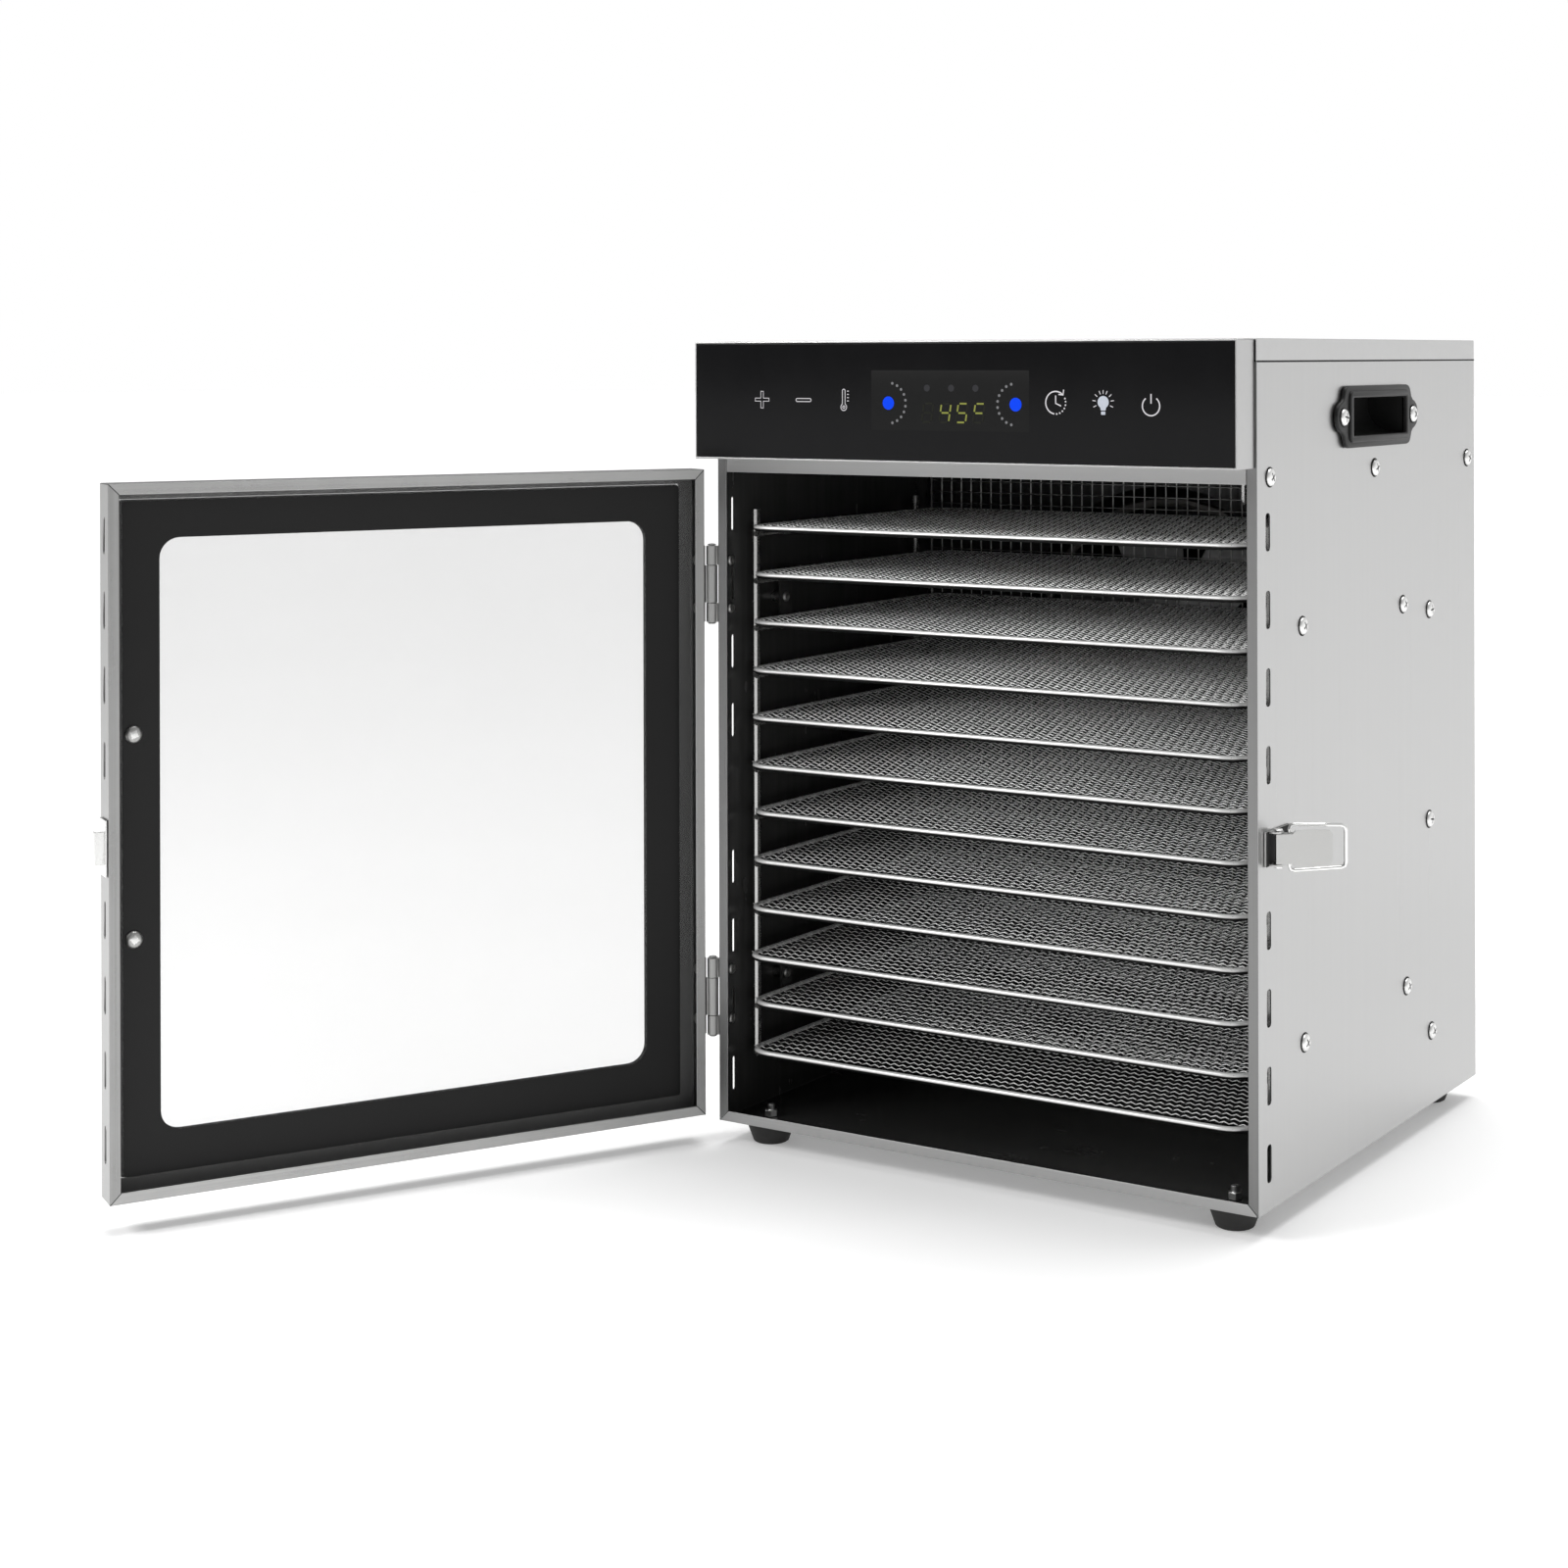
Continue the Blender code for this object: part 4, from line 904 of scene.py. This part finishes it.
frame_steel, tree = new_finish("door frame steel")
place = place_on(tree)
centre = swung @ at(189.1, 0.0, 210.6)
HALF_WIDTH, HALF_HEIGHT = 188.9, 207.4
width_way = (math.cos(SWING), math.sin(SWING), 0.0)
reach = Flow.of(tree, "ShaderNodeVectorMath", {"operation": "DOT_PRODUCT"}, {0: place, 1: width_way},
                output="Value")
u = reach - centre.dot(Vector(width_way))
v = place.axis("Z") - centre.z
from_side, from_end = HALF_WIDTH * MM - abs(u), HALF_HEIGHT * MM - abs(v)
is_rail = from_side > from_end
hairs = []
for fine_u, fine_v in ((1500.0, 7.0), (7.0, 1500.0)):
    for share in (1.0, 0.13):
        spread = Flow.of(tree, "ShaderNodeCombineXYZ", None,
                         {"X": u * (fine_u * share), "Y": v * (fine_v * share)})
        hairs.append(noise(tree, spread, 3.0, 0.6))
hair = hairs[0] * (1.0 - is_rail) + hairs[2] * is_rail
streak = hairs[1] * (1.0 - is_rail) + hairs[3] * is_rail
patch = grain(tree, 26.0, 4.0, 0.6)
mix = hair * 0.25 + streak * 0.45 + patch * 0.3
near_mitre = abs(from_side - from_end) < 0.35 * MM
# The rails are painted 0.22 lighter than the stiles: a painted sheen for the light that the cross-brushed
# rails catch.
tone_and_painted_rail_sheen = blend_tone(tree, mix + is_rail * 0.22, (0.14, 0.14, 0.138), (0.48, 0.48, 0.475))
surface(tree, near_mitre, tone_and_painted_rail_sheen, 0.03, Metallic=1.0,
        Roughness=0.16 + streak * 0.14 + patch * 0.12, Normal=relief(tree, hair, 0.15, 0.00003))


def channel_inside(x, y, z):
    """The faces of the channel that the pane's edge stands against, told with the door shut; they are painted
    dark as painted shade inside the channel.
    """
    spot = swung.inverted() @ at(x, y, z)
    across, deep = spot.x / MM + WIDTH / 2, spot.y / MM + DEPTH / 2
    return 1.1 < across < 377.1 and -19.5 < deep < -1.3


channel_painted_shade_steel = brushed_steel("channel inside steel painted shade", "z", tone=0.12, rough=0.4)
eased("door_channel", "door_frame", (frame_steel, channel_painted_shade_steel), edge=0.5,
      rules=((1, channel_inside),))

clear_pane, tree = new_finish("door pane")
smear = grain(tree, 5.0, 4.0, 0.6)
surface(tree, smear, 0.3, (0.36, 0.36, 0.355), Roughness=0.03 + smear * 0.03,
        Alpha=0.19 + smear * 0.03, Specular_IOR_Level=0.2)
dress("door_glass", clear_pane)

border_black, tree = new_finish("printed border")
powder = grain(tree, 1500.0, 2.0)
patch = grain(tree, 9.0, 3.0)
surface(tree, patch * 0.6 + powder * 0.4, 0.006, 0.017,
        Roughness=0.3 + powder * 0.1 + patch * 0.06, Specular_IOR_Level=0.2)
shape = bmesh.new()
outer_near = soft_corners((11.5, 366.5), (14.0, 407.0), 2.0, 7)
outer_far = soft_corners((10.3, 367.9), (13.3, 407.9), 2.0, 7)
inner = soft_corners((34.9, 344.9), (38.0, 385.2), 12.0, 7)
layers = []
for y, outer in ((-15.5, outer_near), (-15.35, outer_near), (-19.2, outer_far), (-19.35, outer_far)):
    layers.append([[shape.verts.new(at(x, y, z)) for x, z in loop] for loop in (outer, inner)])
for back, front in ((0, 1), (2, 3)):
    for i in range(len(outer)):
        j = (i + 1) % len(outer)
        (ob, ib), (of, inf) = layers[back], layers[front]
        shape.faces.new((of[i], of[j], inf[j], inf[i]))
        shape.faces.new((ob[j], ob[i], ib[i], ib[j]))
        shape.faces.new((ob[i], ob[j], of[j], of[i]))
        shape.faces.new((inf[i], inf[j], ib[j], ib[i]))
bmesh.ops.recalc_face_normals(shape, faces=shape.faces)
border = as_mesh("pane_border", shape)
border.transform(swung)
border.materials.append(border_black)
piece("pane_border", border, "door")

GRIP_X, GRIP_Z = 360.3, (151.9, 271.3)
grip_steel = bright_metal("bar handle steel", (0.74, 0.74, 0.73), 0.22)
eased("bar_handle", "door_handle", (grip_steel,), edge=0)
eased("latch_strike", "door_strike", (grip_steel,), edge=0.25)

door_screws = [(swung @ at(GRIP_X, -15.2, z), swung_turn @ Vector((0, 1, 0))) for z in GRIP_Z]
fastened("door_screws", pan_head, 21, dull_bolt, door_screws, "door")
hinge_ends = [(swung @ at(1.2, -11.0, z), swung_turn @ Vector((1, 0, 0))) for z in HINGE_SCREWS]
fastened("hinge_screw_ends", small_head, 3, dull_bolt, hinge_ends, "door")


# ----------------------------------------------------------
# Hinges: two butt hinges in dulled bright steel between the left front flange and the door's channel. Each
# is a leaf on the cabinet, a leaf on the door, and a headed pin.
hinge_steel = bright_metal("hinge steel", (0.34, 0.34, 0.335), 0.3)
for height in ("upper", "lower"):
    for leaf in ("cabinet_leaf", "door_leaf", "pin"):
        eased(f"{height}_hinge_{leaf}", f"hinge_{height}_{leaf}", (hinge_steel,), edge=0.2)


# ----------------------------------------------------------
# Toggle latch on the right side: a plate with two ears, a lever on a pin, and a wire loop that reaches the
# strike on the door. Pressed and plated steel, with painted shade on the plate between the ears.
latch_steel = bright_metal("latch steel", (0.58, 0.58, 0.57), 0.34)
loop_steel = bright_metal("latch loop steel", (0.92, 0.92, 0.91), 0.1)


def latch_painted_shade(x, y, z):
    """The plate between the ears, painted near black as painted shade from the ears."""
    return WIDTH + 1.0 < x < WIDTH + 2.2 and 199.5 < z < 216.5 and 14.0 < y < 24.0


for name, node, edge, finish in (("latch_plate", "latch_base", 0.2, latch_steel),
                                 ("latch_hand_lever", "latch_lever", 0.3, latch_steel),
                                 ("latch_rivet", "latch_pin", 0.15, loop_steel),
                                 ("latch_loop_wire", "latch_bail", 0, loop_steel)):
    eased(name, node, (finish, painted_shadow_black), edge=edge,
          rules=((1, latch_painted_shade),) if node == "latch_base" else ())


# ----------------------------------------------------------
# Recessed grips, one a side: moulded black plastic with an eared flange screwed to the side sheet and a
# cup for the fingers behind it. Feet: rubber cups on bolts with nuts on the floor sheet.
grip_black, tree = new_finish("moulded black plastic")
pebble = cells_of(tree, 1400.0, feature="SMOOTH_F1")
haze = grain(tree, 40.0, 3.0)
surface(tree, haze, 0.008, 0.017, Roughness=0.36 + haze * 0.12, Specular_IOR_Level=0.3,
        Normal=relief(tree, pebble, 0.2, 0.00005))


def slab(outlines, half, soft, place):
    """A moulded slab from filled outlines in mm: half its thickness, its softened edge, and where it goes."""
    curve = bpy.data.curves.new("slab", "CURVE")
    curve.dimensions, curve.fill_mode = "2D", "BOTH"
    curve.extrude, curve.bevel_depth, curve.bevel_resolution, curve.offset = half - soft, soft, 2, -soft
    for loop in outlines:
        line = curve.splines.new("POLY")
        line.points.add(len(loop) - 1)
        for point, (u, v) in zip(line.points, loop):
            point.co = (u, v, 0.0, 1.0)
        line.use_cyclic_u = True
    made = stand("slab", curve)
    mesh = bpy.data.meshes.new_from_object(made.evaluated_get(bpy.context.evaluated_depsgraph_get()))
    bpy.data.objects.remove(made, do_unlink=True)
    mesh.transform(place)
    return mesh


quarter = [(48.0, 19.0), (51.0, 18.4), (53.3, 16.8), (54.6, 14.2), (55.8, 11.6), (58.2, 9.6), (61.6, 8.4),
           (64.6, 6.5), (66.4, 3.6)]
half_turn = quarter + [(67.0, 0.0)] + [(u, -v) for u, v in quarter[::-1]]
eared = half_turn + [(-u, v) for u, v in half_turn[::-1]]
mouth = soft_corners((-44.0, 44.0), (-11.6, 11.6), 1.2, 4)


def cup_bend(depth, rise):
    """The quarter bend at the bottom of the cup."""
    turns = [math.pi / 2 * i / 12 for i in range(13)]
    return [(-3.0 - depth * math.cos(t), 4.0 - rise * math.sin(t)) for t in turns]


cheek = [(2.4, -13.4), *cup_bend(21.0, 17.4)[::-1], (-24.0, 13.4), (2.4, 13.4)]
shell = [(2.4, 11.6), (-22.0, 11.6), *cup_bend(19.0, 15.6), (2.4, -11.6), *cheek]
face_on = Matrix(((0, 0, 1), (1, 0, 0), (0, 1, 0))).to_4x4()
end_on = Matrix.Rotation(math.pi / 2, 4, "X")
for side, x, turn in (("left", 0.0, math.pi), ("right", WIDTH, 0.0)):
    seat = Matrix.Translation(at(x, CARRY_Y, CARRY_Z)) @ Matrix.Rotation(turn, 4, "Z") @ Matrix.Scale(MM, 4)
    shape = bmesh.new()
    for outlines, half, soft, place in (
            ([eared, mouth], 1.35, 0.9, Matrix.Translation((1.65, 0, 0)) @ face_on),
            ([soft_corners((-48.6, 48.6), (-15.8, 15.8), 4.0, 5), mouth], 1.1, 0.9,
             Matrix.Translation((3.3, 0, 0)) @ face_on),
            ([shell], 44.5, 0.0, end_on),
            ([cheek], 0.9, 0.0, Matrix.Translation((0, 44.9, 0)) @ end_on),
            ([cheek], 0.9, 0.0, Matrix.Translation((0, -44.9, 0)) @ end_on)):
        part_mesh = slab(outlines, half, soft, seat @ place)
        shape.from_mesh(part_mesh)
        bpy.data.meshes.remove(part_mesh)
    bmesh.ops.remove_doubles(shape, verts=shape.verts, dist=WELD)
    mesh = as_mesh(f"{side}_recessed_grip", shape)
    mesh.materials.clear()
    mesh.materials.append(grip_black)
    smooth(mesh, 38.0)
    piece(f"{side}_recessed_grip", mesh, "cabinet", (f"carry_handle_{side}",))
eased("inlet_socket", "power_inlet", (grip_black,), edge=0.4)

rubber_black, tree = new_finish("foot rubber")
bloom_and_painted_highlight = grain(tree, 350.0, 4.0, 0.65)
surface(tree, bloom_and_painted_highlight, 0.01, (0.03, 0.029, 0.028), Roughness=0.62 + bloom_and_painted_highlight * 0.2,
        Normal=relief(tree, bloom_and_painted_highlight, 0.3, 0.0001))
foot_zinc = bright_metal("zinc nut", (0.8, 0.8, 0.79), 0.26)
for number in range(1, 5):
    eased(f"rubber_foot_{number}", f"foot_{number}", (rubber_black,), edge=0.5)
    eased(f"foot_nut_{number}", f"foot_bolt_{number}", (foot_zinc,), edge=0.25)


# ----------------------------------------------------------
# Seam: the gap under the lid's flange, down both sides and across the rear, drawn as a thin dark bead of
# painted shadow.
bead_tree, given = tree_of("painted seam shadow", (("Bead radius", "NodeSocketFloat"),
                                            ("Material", "NodeSocketMaterial")))
bead_path = Flow.of(bead_tree, "GeometryNodeMeshToCurve", None, {"Mesh": given})
close_tree(bead_tree, drawn(bead_tree, bead_path, given.out("Bead radius"), 8), given)
INSET, SEAM_Z = 0.35, LID_UNDERSIDE + 0.8
corners = ((INSET, 0.5), (INSET, DEPTH - INSET), (WIDTH - INSET, DEPTH - INSET), (WIDTH - INSET, 0.5))
bead_line = bpy.data.meshes.new("bead_line")
bead_line.from_pydata([tuple(at(x, y, SEAM_Z)) for x, y in corners], [(0, 1), (1, 2), (2, 3)], [])
beads = grown("seam_beads", bead_tree, {"Bead radius": 0.7 * MM, "Material": painted_shadow_black}, bead_line)
piece("seam_beads", beads, "cabinet")


# ----------------------------------------------------------
# The end: the small models that were only copied are removed.
for model in (pan_head, small_head, screw_seat, recess_shade):
    bpy.data.objects.remove(model, do_unlink=True)
